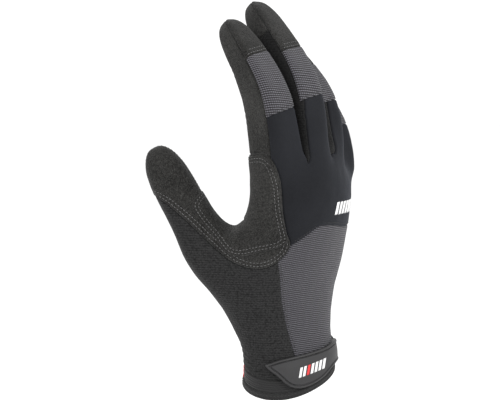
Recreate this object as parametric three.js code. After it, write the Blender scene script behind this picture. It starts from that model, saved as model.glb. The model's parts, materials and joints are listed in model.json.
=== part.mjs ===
// Right-hand mechanic glove, filled out as on a worn hand with the thumb spread.
// Millimetres. +Z runs from the cuff to the fingertips, +Y is the back of the
// hand, +X the thumb side. The origin is the centre of the cuff opening.
import * as THREE from "three";

// Overall sizes of the hand, outside the cloth.
const CUFF_HEIGHT = 27; // hem to the narrowest part of the wrist
const WRIST_WIDTH = 59;
const WRIST_DEPTH = 39;
const PALM_HEIGHT = 96; // wrist to the index finger's root
const PALM_WIDTH = 90;
const PALM_DEPTH = 32;
const PALM_LEAN = 24.5; // how far the knuckles lie behind the wrist
const PALM_ARCH = 16; // how far the arched knuckles drop across the palm's half width
const FINGER_LENGTH = 108; // middle finger, knuckle joint to tip
const FINGER_DEPTH = 22;
const WEB_RISE = 6; // of the web between two fingers, in the middle and at the palm
const WEB_DIP = 4; // of the same web at the back
const FINGER_GAP = 1.2; // between neighbouring fingers at the root
const FINGER_WIDTH = PALM_WIDTH / 4 - FINGER_GAP;
const THUMB_LENGTH = 115; // joint at the wrist to tip
const THUMB_WIDTH = 24;
const THUMB_DEPTH = 22;
const THUMB_WEB = 7; // how far the web is drawn up between thumb and palm
const THUMB_HEEL = 11; // how far the ball of the thumb stands out of the palm

// Slope of the hem, in degrees: lower on the thumb side and on the back.
const HEM_SLOPE_THUMB = 15;
const HEM_SLOPE_BACK = 12;

// The thumb lies in a plane that faces this far round from +X towards +Y.
const SIDE_ANGLE = 42;

// Sections of the cuff and palm. rise is 0 at the hem, 1 at the wrist and 2 at
// the finger roots; wide and deep are shares of the wrist's size up to the
// wrist and of the palm's above it; lean is a share of PALM_LEAN, heel of
// THUMB_HEEL and arch of PALM_ARCH; square is the power of the outline, 2 for an ellipse.
const PALM_ROWS = [
  { rise: 0.0, wide: 1.0, deep: 1.1, lean: 0.0, heel: 0, arch: 0, square: 2.2 },
  { rise: 0.3, wide: 0.99, deep: 1.06, lean: 0.0, heel: 0, arch: 0, square: 2.2 },
  { rise: 0.64, wide: 0.98, deep: 1.03, lean: -0.03, heel: 0, arch: 0, square: 2.2 },
  { rise: 1.0, wide: 0.99, deep: 0.98, lean: -0.09, heel: 0.4, arch: 0, square: 2.3 },
  { rise: 1.18, wide: 0.79, deep: 1.16, lean: -0.06, heel: 1.1, arch: 0.2, square: 2.4 },
  { rise: 1.42, wide: 0.89, deep: 1.14, lean: 0.33, heel: 0.6, arch: 0.4, square: 2.5 },
  { rise: 1.68, wide: 0.95, deep: 1.0, lean: 0.73, heel: 0, arch: 0.7, square: 2.6 },
  { rise: 1.83, wide: 0.98, deep: 0.88, lean: 0.92, heel: 0, arch: 0.9, square: 2.8 },
];

// Where the points of a palm section lie across it, as shares of half its
// width: two corners, four finger middles and three finger gaps.
const PALM_COLUMNS = [0.93, 0.73, 0.48, 0.24, -0.01, -0.26, -0.5, -0.72, -0.92];

// Knuckle joints as shares of half PALM_WIDTH and PALM_HEIGHT; long and thick
// are shares of the middle finger's size; bend of each bone towards the palm
// and spread towards the thumb are in degrees.
const FINGERS = [
  { name: "index", across: 0.71, up: 0.807, long: 0.94, thick: 1.0, bend: [7, 29, 38], spread: 2 },
  { name: "middle", across: 0.235, up: 0.87, long: 1.0, thick: 1.0, bend: [10, 32, 38], spread: 0.5 },
  { name: "ring", across: -0.24, up: 0.82, long: 0.95, thick: 0.97, bend: [14, 40, 49], spread: -1 },
  { name: "little", across: -0.69, up: 0.765, long: 0.77, thick: 0.88, bend: [14, 41, 49], spread: -3 },
];
const ARCH_TOP = 0.3; // where across the palm the arch is highest
const BONES = [0.47, 0.28, 0.25]; // shares of a finger's length

// Seams across the fingers' backs: the top of the knuckle panel and the bottom
// of the fingertip, as shares of the finger's length.
const BACK_SEAMS = {
  index: { knuckle: 0.42, cap: 0.735 },
  middle: { knuckle: 0.405, cap: 0.655 },
  ring: { knuckle: 0.44, cap: 0.66 },
  little: { knuckle: 0.44, cap: 0.66 },
};

// Sections of a finger: place along it and size, as shares.
const FINGER_ROWS = [
  { along: 0.15, wide: 0.97, deep: 1.1 },
  { along: 0.3, wide: 0.98, deep: 1.05 },
  { along: 0.46, wide: 0.99, deep: 1.02 },
  { along: 0.58, wide: 0.95, deep: 0.93 },
  { along: 0.7, wide: 0.91, deep: 0.8 },
  { along: 0.82, wide: 0.86, deep: 0.71 },
  { along: 0.94, wide: 0.69, deep: 0.57 },
  { along: 1, wide: 0.36, deep: 0.3 },
];

// The thumb in the side plane: its first joint as shares of half PALM_WIDTH,
// PALM_DEPTH and PALM_HEIGHT, then the bones' shares of its length and their
// lean away from the hand in degrees.
const THUMB = {
  across: 0.53,
  lean: -0.085,
  up: 0.005,
  bones: [0.39, 0.32, 0.29],
  spread: [30, 29, 27],
};
const THUMB_ROWS = [
  { along: 0.42, wide: 1.35, deep: 1.27 },
  { along: 0.54, wide: 1.12, deep: 1.08 },
  { along: 0.65, wide: 0.98, deep: 0.97 },
  { along: 0.77, wide: 0.96, deep: 0.97 },
  { along: 0.87, wide: 0.92, deep: 0.92 },
  { along: 0.95, wide: 0.72, deep: 0.7 },
  { along: 1.0, wide: 0.36, deep: 0.34 },
];

// Panels. Outlines lie in the thumb's plane: across is a share of half
// PALM_WIDTH, up a share of PALM_HEIGHT above the wrist.
const THUMB_PANEL = [
  { across: -1.58, up: 0.78 },
  { across: -1.27, up: 0.667 },
  { across: -0.92, up: 0.516 },
  { across: -0.63, up: 0.414 },
  { across: -0.35, up: 0.388 },
  { across: -0.13, up: 0.428 },
  { across: 0.02, up: 0.52 },
  { across: -0.02, up: 0.59 },
  { across: -0.065, up: 0.71 },
  { across: -0.1, up: 0.9 },
  { across: -0.2, up: 1.01 },
  { across: -0.28, up: 1.04 },
  { across: -0.4, up: 1.04 },
  { across: -0.62, up: 1.01 },
  { across: -0.9, up: 1.15 },
  { across: -1.1, up: 1.4 },
  { across: -2.2, up: 1.4 },
  { across: -2.2, up: 0.9 },
];
const CROTCH_PATCH = [
  { across: -1.05, up: 0.82 },
  { across: -1.17, up: 0.74 },
  { across: -1.11, up: 0.68 },
  { across: -0.9, up: 0.56 },
  { across: -0.72, up: 0.472 },
  { across: -0.58, up: 0.46 },
  { across: -0.33, up: 0.49 },
  { across: -0.12, up: 0.515 },
  { across: -0.02, up: 0.545 },
  { across: -0.045, up: 0.62 },
  { across: -0.085, up: 0.74 },
  { across: -0.12, up: 0.9 },
  { across: -0.21, up: 0.995 },
  { across: -0.29, up: 1.025 },
  { across: -0.4, up: 1.025 },
  { across: -0.6, up: 0.995 },
  { across: -0.8, up: 0.93 },
];
// The tab's outline: across is a share of half WRIST_WIDTH, up of CUFF_HEIGHT above the hem's middle.
const WRIST_TAB = [
  { across: -0.42, up: 0.385 },
  { across: -0.33, up: 0.43 },
  { across: -0.198, up: 0.484 },
  { across: 0, up: 0.527 },
  { across: 0.305, up: 0.573 },
  { across: 0.641, up: 0.627 },
  { across: 0.824, up: 0.698 },
  { across: 1.297, up: 0.751 },
  { across: 1.373, up: 0.413 },
  { across: 1.068, up: 0.36 },
  { across: 0.839, up: 0.271 },
  { across: 0.564, up: 0.022 },
  { across: 0.275, up: -0.095 },
  { across: 0.107, up: -0.095 },
  { across: -0.031, up: -0.031 },
  { across: -0.198, up: 0.147 },
];
const TAB_END = { across: 1.33, up: 0.58 }; // the middle of its far end
const KNIT_SEAM = [
  { up: -0.12, across: 0.07 },
  { up: 0.04, across: -0.027 },
  { up: 0.19, across: -0.087 },
  { up: 0.35, across: -0.107 },
  { up: 0.42, across: -0.13 },
];
const KNUCKLE_SEAM = [
  { across: 0.02, up: 0.517 },
  { across: 0.16, up: 0.556 },
  { across: 0.26, up: 0.588 },
  { across: 0.35, up: 0.617 },
  { across: 0.41, up: 0.624 },
  { across: 0.57, up: 0.616 },
  { across: 0.7, up: 0.594 },
];
const HEM_HEIGHT = 3.6;
const BAND_HEIGHT = 11; // hem to the top of the elastic band
const STRAP_FROM = 4.4; // above the hem
const STRAP_TO = 14.5;
const STRAP_END = 0.28; // across the palm side, of half the wrist's width
const SEAM_FACING = -0.15; // the palm panel starts just round the thumb side's edge
const TAB_FACING = -0.3; // the tab ends and the strap starts round the other edge
const PATCH_FACING = -0.4;
const BACK_EDGE = 0.58; // how far back the gap between fingers reaches on them
const OUTER_EDGE = 0.3; // the same on the outer side of the index and little finger
const TIP_EDGE = 0.5;
const SEAM_SLANT = 2.5; // seams across a finger's back lie this much lower on its thumb side
const FRONT_START = 0.22; // of a finger's length, where its front leaves the palm panel
const FOURCHETTE_END = 0.8; // of a finger's length
const OUTER_SIDE_FROM = 0.05; // across a finger, where its outer side's seams take over
const OUTER_SIDE_FULL = 0.5;

const WALL = 1.6;
const SEAM_GAP = 0.4;
const PATCH_THICKNESS = 1.0;
const HEM_ROLL = 0.5; // the hem binding stands proud of the cuff
const TAB_THICKNESS = 2.4;
const STRAP_THICKNESS = 1.3;

// How square the finger sections are: their corners' share of half the width.
const FINGER_CORNER = 0.86;
const THUMB_CORNER = 0.77;

const RAD = Math.PI / 180;
const RING = 8;
const COLUMNS = 2 * PALM_COLUMNS.length + 2;
const THUMB_FIRST_ROW = 4; // the thumb stands on two by two faces from this row
const THUMB_FIRST_COLUMN = COLUMNS - 2;

// The middle line of each finger and of the thumb, as a curve through joints.
function bentLine(start, steps) {
  const at = start.clone();
  const joints = [at.clone()];
  steps.forEach((step) => joints.push(at.add(step).clone()));
  return new THREE.CatmullRomCurve3(joints, false, "centripetal");
}

const archDrop = (across) => PALM_ARCH * (across - ARCH_TOP) ** 2;

function fingerLine(finger) {
  const start = new THREE.Vector3(
    (finger.across * PALM_WIDTH) / 2,
    PALM_LEAN - archDrop(finger.across),
    CUFF_HEIGHT + finger.up * PALM_HEIGHT,
  );
  const steps = finger.bend.map((bend, i) => {
    const aside = Math.sin(finger.spread * RAD);
    const step = new THREE.Vector3(aside, -Math.sin(bend * RAD), Math.cos(bend * RAD));
    return step.setLength(BONES[i] * finger.long * FINGER_LENGTH);
  });
  return bentLine(start, steps);
}

const sideFacing = new THREE.Vector3(Math.cos(SIDE_ANGLE * RAD), Math.sin(SIDE_ANGLE * RAD), 0);
const sideRight = new THREE.Vector3(-sideFacing.y, sideFacing.x, 0);

function thumbLine() {
  const start = new THREE.Vector3(
    (THUMB.across * PALM_WIDTH) / 2,
    THUMB.lean * PALM_DEPTH,
    CUFF_HEIGHT + THUMB.up * PALM_HEIGHT,
  );
  const steps = THUMB.spread.map((spread, i) => {
    const step = new THREE.Vector3(0, 0, Math.cos(spread * RAD));
    step.addScaledVector(sideRight, -Math.sin(spread * RAD));
    return step.setLength(THUMB.bones[i] * THUMB_LENGTH);
  });
  return bentLine(start, steps);
}

// Control cage. A vertex is its place, then how far it faces the back of the
// hand (1) or the palm (-1), the thumb side (1) or the other (-1), and how far
// along a finger it lies.
const cage = { points: [], faces: [] };
const addPoint = (place, back, side, along) =>
  cage.points.push([place.x, place.y, place.z, back, side, along]) - 1;
const [BACK, SIDE, ALONG] = [3, 4, 5];
const addFace = (part, ...corners) => cage.faces.push({ part, corners });
const average = (list) => list[0].map((_, i) => list.reduce((sum, v) => sum + v[i], 0) / list.length);

function palmRow(row) {
  const onPalm = row.rise > 1;
  const halfWidth = (row.wide * (onPalm ? PALM_WIDTH : WRIST_WIDTH)) / 2;
  const halfDepth = (row.deep * (onPalm ? PALM_DEPTH : WRIST_DEPTH)) / 2;
  const height = Math.min(row.rise, 1) * CUFF_HEIGHT + Math.max(row.rise - 1, 0) * PALM_HEIGHT;
  const slope = Math.max(1 - row.rise, 0);
  const put = (across, side) => {
    const x = across * halfWidth;
    const y = side * halfDepth * (1 - Math.abs(across) ** row.square) ** (1 / row.square);
    const drop = slope * (x * Math.tan(HEM_SLOPE_THUMB * RAD) + y * Math.tan(HEM_SLOPE_BACK * RAD));
    const lean = row.lean * PALM_LEAN - row.arch * archDrop(across);
    const place = new THREE.Vector3(x, y, 0);
    const byThumb = Math.max(-place.clone().normalize().dot(sideRight), 0) ** 2;
    place.addScaledVector(sideRight, -row.heel * THUMB_HEEL * byThumb);
    place.add(new THREE.Vector3(0, lean, height - drop));
    return addPoint(place, side * (1 - Math.abs(across) ** 6), across, 0);
  };
  const back = PALM_COLUMNS.map((across) => put(across, 1));
  const palm = PALM_COLUMNS.map((across) => put(across, -1)).reverse();
  return [put(1, 0), ...back, put(-1, 0), ...palm];
}

// A ring of eight control points, from the thumb side by the back of the hand.
// The smooth curve that it makes touches 1 at its sides and corner between them.
function ringAt(line, row, across, width, depth, corner) {
  const centre = line.getPointAt(row.along);
  const tangent = line.getTangentAt(row.along);
  const n = tangent.clone().cross(across).normalize();
  const u = n.clone().cross(tangent);
  const diagonal = (corner - 0.25) / (7 / 12);
  const straight = 1.5 - diagonal / 2;
  return Array.from({ length: RING }, (_, k) => {
    const angle = (k * 2 * Math.PI) / RING;
    const size = k % 2 ? diagonal * Math.SQRT2 : straight;
    const place = centre
      .clone()
      .addScaledVector(u, (Math.cos(angle) * size * row.wide * width) / 2)
      .addScaledVector(n, (Math.sin(angle) * size * row.deep * depth) / 2);
    return { place, back: Math.sin(angle), side: Math.cos(angle), along: row.along };
  });
}

function addTube(part, root, rings) {
  let below = root;
  rings.forEach((ring) => {
    const ids = ring.map(({ place, back, side, along }) => addPoint(place, back, side, along));
    ids.forEach((id, k) => {
      const next = (k + 1) % RING;
      addFace(part, below[k], below[next], ids[next], id);
    });
    below = ids;
  });
  const centre = cage.points.push(average(below.map((id) => cage.points[id]))) - 1;
  for (let k = 1; k < RING; k += 2) {
    addFace(part, below[k - 1], below[k], below[(k + 1) % RING], centre);
  }
}

// Finger roots: neighbours share the three points of the gap between them, and
// together the roots make the palm's top row.
function addFingers() {
  const top = new Array(COLUMNS);
  let before = null;
  const roots = [];
  const tubes = FINGERS.map((finger, f) => {
    const line = fingerLine(finger);
    const across = new THREE.Vector3(1, 0, 0);
    const width = FINGER_WIDTH * finger.thick;
    const depth = FINGER_DEPTH * finger.thick;
    const rings = FINGER_ROWS.map((row) => ringAt(line, row, across, width, depth, FINGER_CORNER));
    const shared = before ? { 0: before[4], 1: before[3], 7: before[5] } : {};
    const root = rings[0].map(({ place, back, side, along }, k) => {
      const inner = (k === 0 || k === 7) ? f > 0 : (k === 4 || k === 5) && f < FINGERS.length - 1;
      if (inner) place.z += WEB_RISE;
      if ((k === 1 && f > 0) || (k === 3 && f < FINGERS.length - 1)) place.z -= WEB_DIP;
      if (!(k in shared)) return addPoint(place, back, side, along);
      const twin = cage.points[shared[k]];
      cage.points[shared[k]] = average([twin, [place.x, place.y, place.z, back, side, along]]);
      return shared[k];
    });
    const first = 2 * f + 1;
    const last = COLUMNS - first;
    root.slice(1, 4).forEach((id, k) => (top[first + k] = id));
    root.slice(5, 8).forEach((id, k) => (top[last - 2 + k] = id));
    if (f === 0) top[0] = root[0];
    if (f === FINGERS.length - 1) top[first + 3] = root[4];
    before = root;
    roots.push(root);
    return { name: finger.name, rings: rings.slice(1) };
  });
  tubes.forEach(({ name, rings }, f) => addTube(name, roots[f], rings));
  return top;
}

function addPalm(rows) {
  rows.slice(0, -1).forEach((row, r) => {
    row.forEach((id, c) => {
      const next = (c + 1) % COLUMNS;
      const byThumb = r === THUMB_FIRST_ROW || r === THUMB_FIRST_ROW + 1;
      if (byThumb && c >= THUMB_FIRST_COLUMN) return;
      addFace("palm", id, row[next], rows[r + 1][next], rows[r + 1][c]);
    });
  });
}

function addThumb(rows) {
  const line = thumbLine();
  const thumbRing = (row) => ringAt(line, row, sideFacing, THUMB_DEPTH, THUMB_WIDTH, THUMB_CORNER);
  const rings = THUMB_ROWS.map(thumbRing);
  rings[0].forEach(({ place, back }) => (place.z += THUMB_WEB * Math.max(back, 0)));
  const [low, mid, high] = [0, 1, 2].map((up) => rows[THUMB_FIRST_ROW + up]);
  const [left, middle, right] = [THUMB_FIRST_COLUMN, THUMB_FIRST_COLUMN + 1, 0];
  const root = [
    [mid, right],
    [high, right],
    [high, middle],
    [high, left],
    [mid, left],
    [low, left],
    [low, middle],
    [low, right],
  ];
  addTube("thumb", root.map(([row, column]) => row[column]), rings);
}

const rows = PALM_ROWS.map(palmRow);
rows.push(addFingers());
addPalm(rows);
addThumb(rows);

// Neighbours of each vertex of a mesh of four-sided faces.
function neighbours({ points, faces }) {
  const edges = new Map();
  const around = points.map(() => ({ faces: [], edges: [] }));
  faces.forEach(({ corners }, f) => {
    corners.forEach((a, i) => {
      const b = corners[(i + 1) % 4];
      const key = Math.min(a, b) + "_" + Math.max(a, b);
      if (!edges.has(key)) {
        edges.set(key, { ends: [a, b], faces: [] });
        around[a].edges.push(edges.get(key));
        around[b].edges.push(edges.get(key));
      }
      edges.get(key).faces.push(f);
      around[a].faces.push(f);
    });
  });
  return { edges, around };
}

// One step of Catmull-Clark subdivision.
function subdivide(mesh) {
  const { points, faces } = mesh;
  const { edges, around } = neighbours(mesh);
  const middles = faces.map(({ corners }) => average(corners.map((id) => points[id])));
  const middleOf = (edge) => average(edge.ends.map((end) => points[end]));
  const made = points.map((old, id) => {
    const rim = around[id].edges.filter((edge) => edge.faces.length === 1);
    const n = around[id].faces.length;
    if (!n) return old;
    if (rim.length) return average([old, average(rim.map(middleOf))]);
    const face = average(around[id].faces.map((f) => middles[f]));
    const edge = average(around[id].edges.map(middleOf));
    return old.map((value, i) => (face[i] + 2 * edge[i] + (n - 3) * value) / n);
  });
  const middleIds = middles.map((v) => made.push(v) - 1);
  edges.forEach((edge) => {
    const sides = edge.faces.length === 2 ? edge.faces.map((f) => middles[f]) : [];
    edge.id = made.push(average([...edge.ends.map((end) => points[end]), ...sides])) - 1;
  });
  const edgeId = (a, b) => edges.get(Math.min(a, b) + "_" + Math.max(a, b)).id;
  const split = faces.flatMap(({ part, corners }, f) =>
    corners.map((id, i) => ({
      part,
      corners: [id, edgeId(id, corners[(i + 1) % 4]), middleIds[f], edgeId(corners[(i + 3) % 4], id)],
    })),
  );
  return { points: made, faces: split };
}

// Everything below works on triangles. A vertex keeps its place, the way it
// faces (back and side) and its place along a finger; a face its panel.
const LEVEL = 1;
let smooth = cage;
for (let i = 0; i < LEVEL; i++) smooth = subdivide(smooth);
smooth.points = settle(smooth);

// Moves each vertex onto the smooth surface that endless subdivision tends to.
function settle(mesh) {
  const { points, faces } = mesh;
  const { around } = neighbours(mesh);
  return points.map((old, id) => {
    const n = around[id].faces.length;
    if (!n || around[id].edges.some((edge) => edge.faces.length === 1)) return old;
    const farEnd = ({ ends: [a, b] }) => points[a === id ? b : a];
    const ends = around[id].edges.map(farEnd);
    const across = around[id].faces.map((f) => {
      const { corners } = faces[f];
      return points[corners[(corners.indexOf(id) + 2) % 4]];
    });
    const weight = n * (n + 5);
    return old.map((value, i) => {
      const near = ends.reduce((sum, v) => sum + v[i], 0);
      const far = across.reduce((sum, v) => sum + v[i], 0);
      return (n * n * value + 4 * near + far) / weight;
    });
  });
}

const triangles = ({ points, faces }) => ({
  points,
  faces: faces.flatMap(({ part, corners: [a, b, c, d] }) => [
    { part, panel: part, corners: [a, b, c] },
    { part, panel: part, corners: [a, c, d] },
  ]),
});

const place = (v) => new THREE.Vector3(v[0], v[1], v[2]);

function vertexNormals({ points, faces }) {
  const normals = points.map(() => new THREE.Vector3());
  faces.forEach(({ corners }) => {
    const at = corners.map((id) => place(points[id]));
    corners.forEach((id, i) => {
      const toNext = at[(i + 1) % 3].clone().sub(at[i]);
      const toLast = at[(i + 2) % 3].clone().sub(at[i]);
      const normal = toNext.clone().cross(toLast);
      if (normal.lengthSq() > 0) normals[id].addScaledVector(normal.normalize(), toNext.angleTo(toLast));
    });
  });
  return normals.map((n) => (n.lengthSq() ? n.normalize() : n));
}

// Cuts the chosen faces along the line where a value of their vertices is zero
// and calls the faces on each side of it by a panel's name. A vertex close to
// the line slides onto it, or stays and counts as on it.
const SNAP = 0.3;
function cut(surface, chosen, value, above, below, slide = true) {
  const { points } = surface;
  const normals = vertexNormals(surface);
  const values = points.map((v, id) => value(v, normals[id]));
  const crossings = [];
  surface.faces.filter(chosen).forEach(({ corners }) => {
    corners.forEach((a, i) => {
      const b = corners[(i + 1) % 3];
      if (values[a] > 0 && values[b] < 0) crossings.push([a, b]);
      if (values[a] < 0 && values[b] > 0) crossings.push([b, a]);
    });
  });
  const near = new Map();
  crossings.forEach(([a, b]) => {
    const share = values[a] / (values[a] - values[b]);
    const [id, other, reach] = share < 0.5 ? [a, b, share] : [b, a, 1 - share];
    if (reach < SNAP && (!near.has(id) || near.get(id).reach > reach)) near.set(id, { other, reach });
  });
  const moved = points.slice();
  near.forEach(({ other, reach }, id) => {
    if (slide) moved[id] = points[id].map((v, i) => v + (points[other][i] - v) * reach);
    values[id] = 0;
  });
  moved.forEach((v, id) => (points[id] = v));
  const split = new Map();
  crossings.forEach(([a, b]) => {
    const key = Math.min(a, b) + "_" + Math.max(a, b);
    if (split.has(key) || values[a] <= 0 || values[b] >= 0) return;
    const share = values[a] / (values[a] - values[b]);
    split.set(key, points.push(points[a].map((v, i) => v + (points[b][i] - v) * share)) - 1);
    values.push(0);
  });
  surface.faces = surface.faces.flatMap((face) => splitFace(face, split, points).map((made) => {
    if (!chosen(made)) return made;
    const lean = made.corners.reduce((sum, id) => sum + values[id], 0);
    return { ...made, panel: lean > 0 ? above : below };
  }));
}

function splitFace(face, split, points) {
  const { corners } = face;
  const middles = corners.map((a, i) => {
    const b = corners[(i + 1) % 3];
    return split.get(Math.min(a, b) + "_" + Math.max(a, b));
  });
  const count = middles.filter((id) => id !== undefined).length;
  const make = (...ids) => ({ ...face, corners: ids });
  if (!count) return [face];
  const first = count === 1 ? middles.findIndex((id) => id !== undefined) : middles.findIndex((id, i) => {
    return id !== undefined && middles[(i + 2) % 3] !== undefined;
  });
  const turn = (list) => [0, 1, 2].map((i) => list[(first + i) % 3]);
  const [a, b, c] = turn(corners);
  const [ab, bc, ca] = turn(middles);
  if (count === 1) return [make(a, ab, c), make(ab, b, c)];
  if (count === 3) return [make(a, ab, ca), make(ab, b, bc), make(ca, bc, c), make(ab, bc, ca)];
  const length = (p, q) => place(points[p]).distanceTo(place(points[q]));
  if (length(ab, c) < length(ca, b)) return [make(a, ab, ca), make(ab, b, c), make(ab, c, ca)];
  return [make(a, ab, ca), make(ab, b, ca), make(ca, b, c)];
}

// Outlines in the side plane.
const sideX = (v) => v[0] * sideRight.x + v[1] * sideRight.y;
const sidePoint = ({ across, up }) =>
  new THREE.Vector2((across * PALM_WIDTH) / 2, CUFF_HEIGHT + up * PALM_HEIGHT);

const cuffPoint = ({ across, up }) => new THREE.Vector2((across * WRIST_WIDTH) / 2, CUFF_HEIGHT * up);

const OUTLINE_STEPS = 6; // between two points of an outline
function insideOutline(points) {
  const places = points.map(({ x, y }) => new THREE.Vector3(x, y, 0));
  const curve = new THREE.CatmullRomCurve3(places, true, "centripetal");
  const line = curve.getPoints(points.length * OUTLINE_STEPS).slice(0, -1);
  return (v) => {
    const x = sideX(v);
    const y = v[2];
    let nearest = Infinity;
    let inside = false;
    line.forEach((b, i) => {
      const a = line[(i + line.length - 1) % line.length];
      const dx = b.x - a.x;
      const dy = b.y - a.y;
      const t = THREE.MathUtils.clamp(((x - a.x) * dx + (y - a.y) * dy) / (dx * dx + dy * dy), 0, 1);
      nearest = Math.min(nearest, Math.hypot(a.x + dx * t - x, a.y + dy * t - y));
      if (a.y > y !== b.y > y && x < a.x + ((y - a.y) / dy) * dx) inside = !inside;
    });
    return inside ? nearest : -nearest;
  };
}

// A value looked up between the rows of a line's table, which are in rising order.
function lookUp(rows, value) {
  const above = rows.findIndex(([at]) => at >= value);
  const next = above < 0 ? rows.length - 1 : Math.max(above, 1);
  const [a, from] = rows[next - 1];
  const [b, to] = rows[next];
  return from + (to - from) * THREE.MathUtils.clamp((value - a) / (b - a), 0, 1);
}

const hemDrop = (v) => v[0] * Math.tan(HEM_SLOPE_THUMB * RAD) + v[1] * Math.tan(HEM_SLOPE_BACK * RAD);
const aboveHem = (v) => v[2] + hemDrop(v);

const seamAcross = KNIT_SEAM.map((row) => [sidePoint(row).y, sidePoint(row).x]);
const seamUp = KNUCKLE_SEAM.map((row) => [sidePoint(row).x, sidePoint(row).y]);
const facing = (normal) => normal.dot(sideFacing);
const smoothStep = THREE.MathUtils.smoothstep;

// The edges of the back of a finger: its outer side, and the sides that face
// another finger, have seams at different places round it.
function edgeOf(finger, v, inner) {
  const outside = { index: 1, little: -1 }[finger];
  const outer = OUTER_EDGE + (TIP_EDGE - OUTER_EDGE) * v[ALONG];
  const share = outside ? smoothStep(v[SIDE] * outside, OUTER_SIDE_FROM, OUTER_SIDE_FULL) : 0;
  return inner * (1 - share) + outer * share;
}

function backEdge(finger, v) {
  const inner = BACK_EDGE + (TIP_EDGE - BACK_EDGE) * smoothStep(v[ALONG], FOURCHETTE_END, 1);
  return v[BACK] - edgeOf(finger, v, inner);
}

const surface = triangles(smooth);
const isPart = (...parts) => (face) => parts.includes(face.part) && face.panel === face.part;
const isPanel = (name) => (face) => face.panel === name;
const hand = isPart("palm", "thumb");

cut(surface, isPart("palm"), (v) => HEM_HEIGHT - aboveHem(v), "hem_binding", "palm");
cut(surface, isPart("palm"), (v) => BAND_HEIGHT - aboveHem(v), "wrist_band", "palm");
const FACING_SCALE = 10; // brings a facing or a share round a finger near to millimetres
const outward = (v, n) => FACING_SCALE * (v[0] > 0 ? facing(n) - SEAM_FACING : v[BACK] + OUTER_EDGE);
cut(surface, hand, outward, "outer", "palm_panel");
const insideThumbPanel = insideOutline(THUMB_PANEL.map(sidePoint));
cut(surface, isPanel("outer"), insideThumbPanel, "thumb_panel", "outer");
cut(surface, isPanel("outer"), (v) => lookUp(seamAcross, v[2]) - sideX(v), "side_panel", "outer");
cut(surface, isPanel("outer"), (v) => v[2] - lookUp(seamUp, sideX(v)), "knuckle_panel", "back_panel");
FINGERS.forEach(({ name, long }, f) => {
  const { knuckle, cap } = BACK_SEAMS[name];
  const alongBy = (share) => (v) => (v[ALONG] - share) * FINGER_LENGTH * long + SEAM_SLANT * v[SIDE];
  cut(surface, isPart(name), (v) => FACING_SCALE * backEdge(name, v), name + "_back", name + "_rest");
  const innerSide = (v) => FACING_SCALE * (v[BACK] - edgeOf(name, v, -BACK_EDGE));
  cut(surface, isPanel(name + "_rest"), innerSide, "gap", "palm_panel");
  cut(surface, isPanel("gap"), alongBy(FOURCHETTE_END), "palm_panel", "gap");
  surface.faces.filter(isPanel("gap")).forEach((face) => {
    const side = face.corners.reduce((sum, id) => sum + surface.points[id][SIDE], 0);
    face.panel = "fourchette_" + (side > 0 ? f : f + 1);
  });
  cut(surface, isPanel(name + "_back"), alongBy(cap), "fingertip_" + name, name + "_back");
  cut(surface, isPanel(name + "_back"), alongBy(knuckle), "finger_back_" + name, "knuckle_panel");
});
const onThumbPanel = (v, n) => Math.min(insideThumbPanel(v), outward(v, n));
["palm_panel", "knuckle_panel"].forEach((panel) => {
  const besideThumb = (face) => face.part === "index" && face.panel === panel;
  cut(surface, besideThumb, onThumbPanel, "thumb_panel", panel);
});

FINGERS.forEach(({ name, long }) => {
  const front = (face) => face.part === name && face.panel === "palm_panel";
  const pastRoot = (v) => (v[ALONG] - FRONT_START) * FINGER_LENGTH * long;
  cut(surface, front, pastRoot, "finger_front_" + name, "palm_panel");
});

// Gives each small island of a panel to the panel that it borders most.
function joinIslands(surface) {
  const beside = new Map();
  surface.faces.forEach((face) => {
    face.corners.forEach((a, i) => {
      const b = face.corners[(i + 1) % 3];
      const key = Math.min(a, b) + "_" + Math.max(a, b);
      beside.set(key, [...(beside.get(key) || []), face]);
    });
  });
  const keys = (face) => face.corners.map((a, i) => {
    const b = face.corners[(i + 1) % 3];
    return Math.min(a, b) + "_" + Math.max(a, b);
  });
  const seen = new Set();
  const islands = new Map();
  surface.faces.forEach((start) => {
    if (seen.has(start)) return;
    const island = [start];
    seen.add(start);
    for (const face of island) {
      keys(face).flatMap((key) => beside.get(key)).forEach((other) => {
        if (seen.has(other) || other.panel !== start.panel) return;
        seen.add(other);
        island.push(other);
      });
    }
    islands.set(start.panel, [...(islands.get(start.panel) || []), island]);
  });
  islands.forEach((list, panel) => {
    list.sort((a, b) => b.length - a.length);
    list.slice(1).forEach((island) => {
      const votes = {};
      island.flatMap(keys).flatMap((key) => beside.get(key)).forEach((other) => {
        if (other.panel !== panel) votes[other.panel] = (votes[other.panel] || 0) + 1;
      });
      const [best] = Object.keys(votes).sort((a, b) => votes[b] - votes[a]);
      island.forEach((face) => (face.panel = best || panel));
    });
  });
}
joinIslands(surface);

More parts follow.
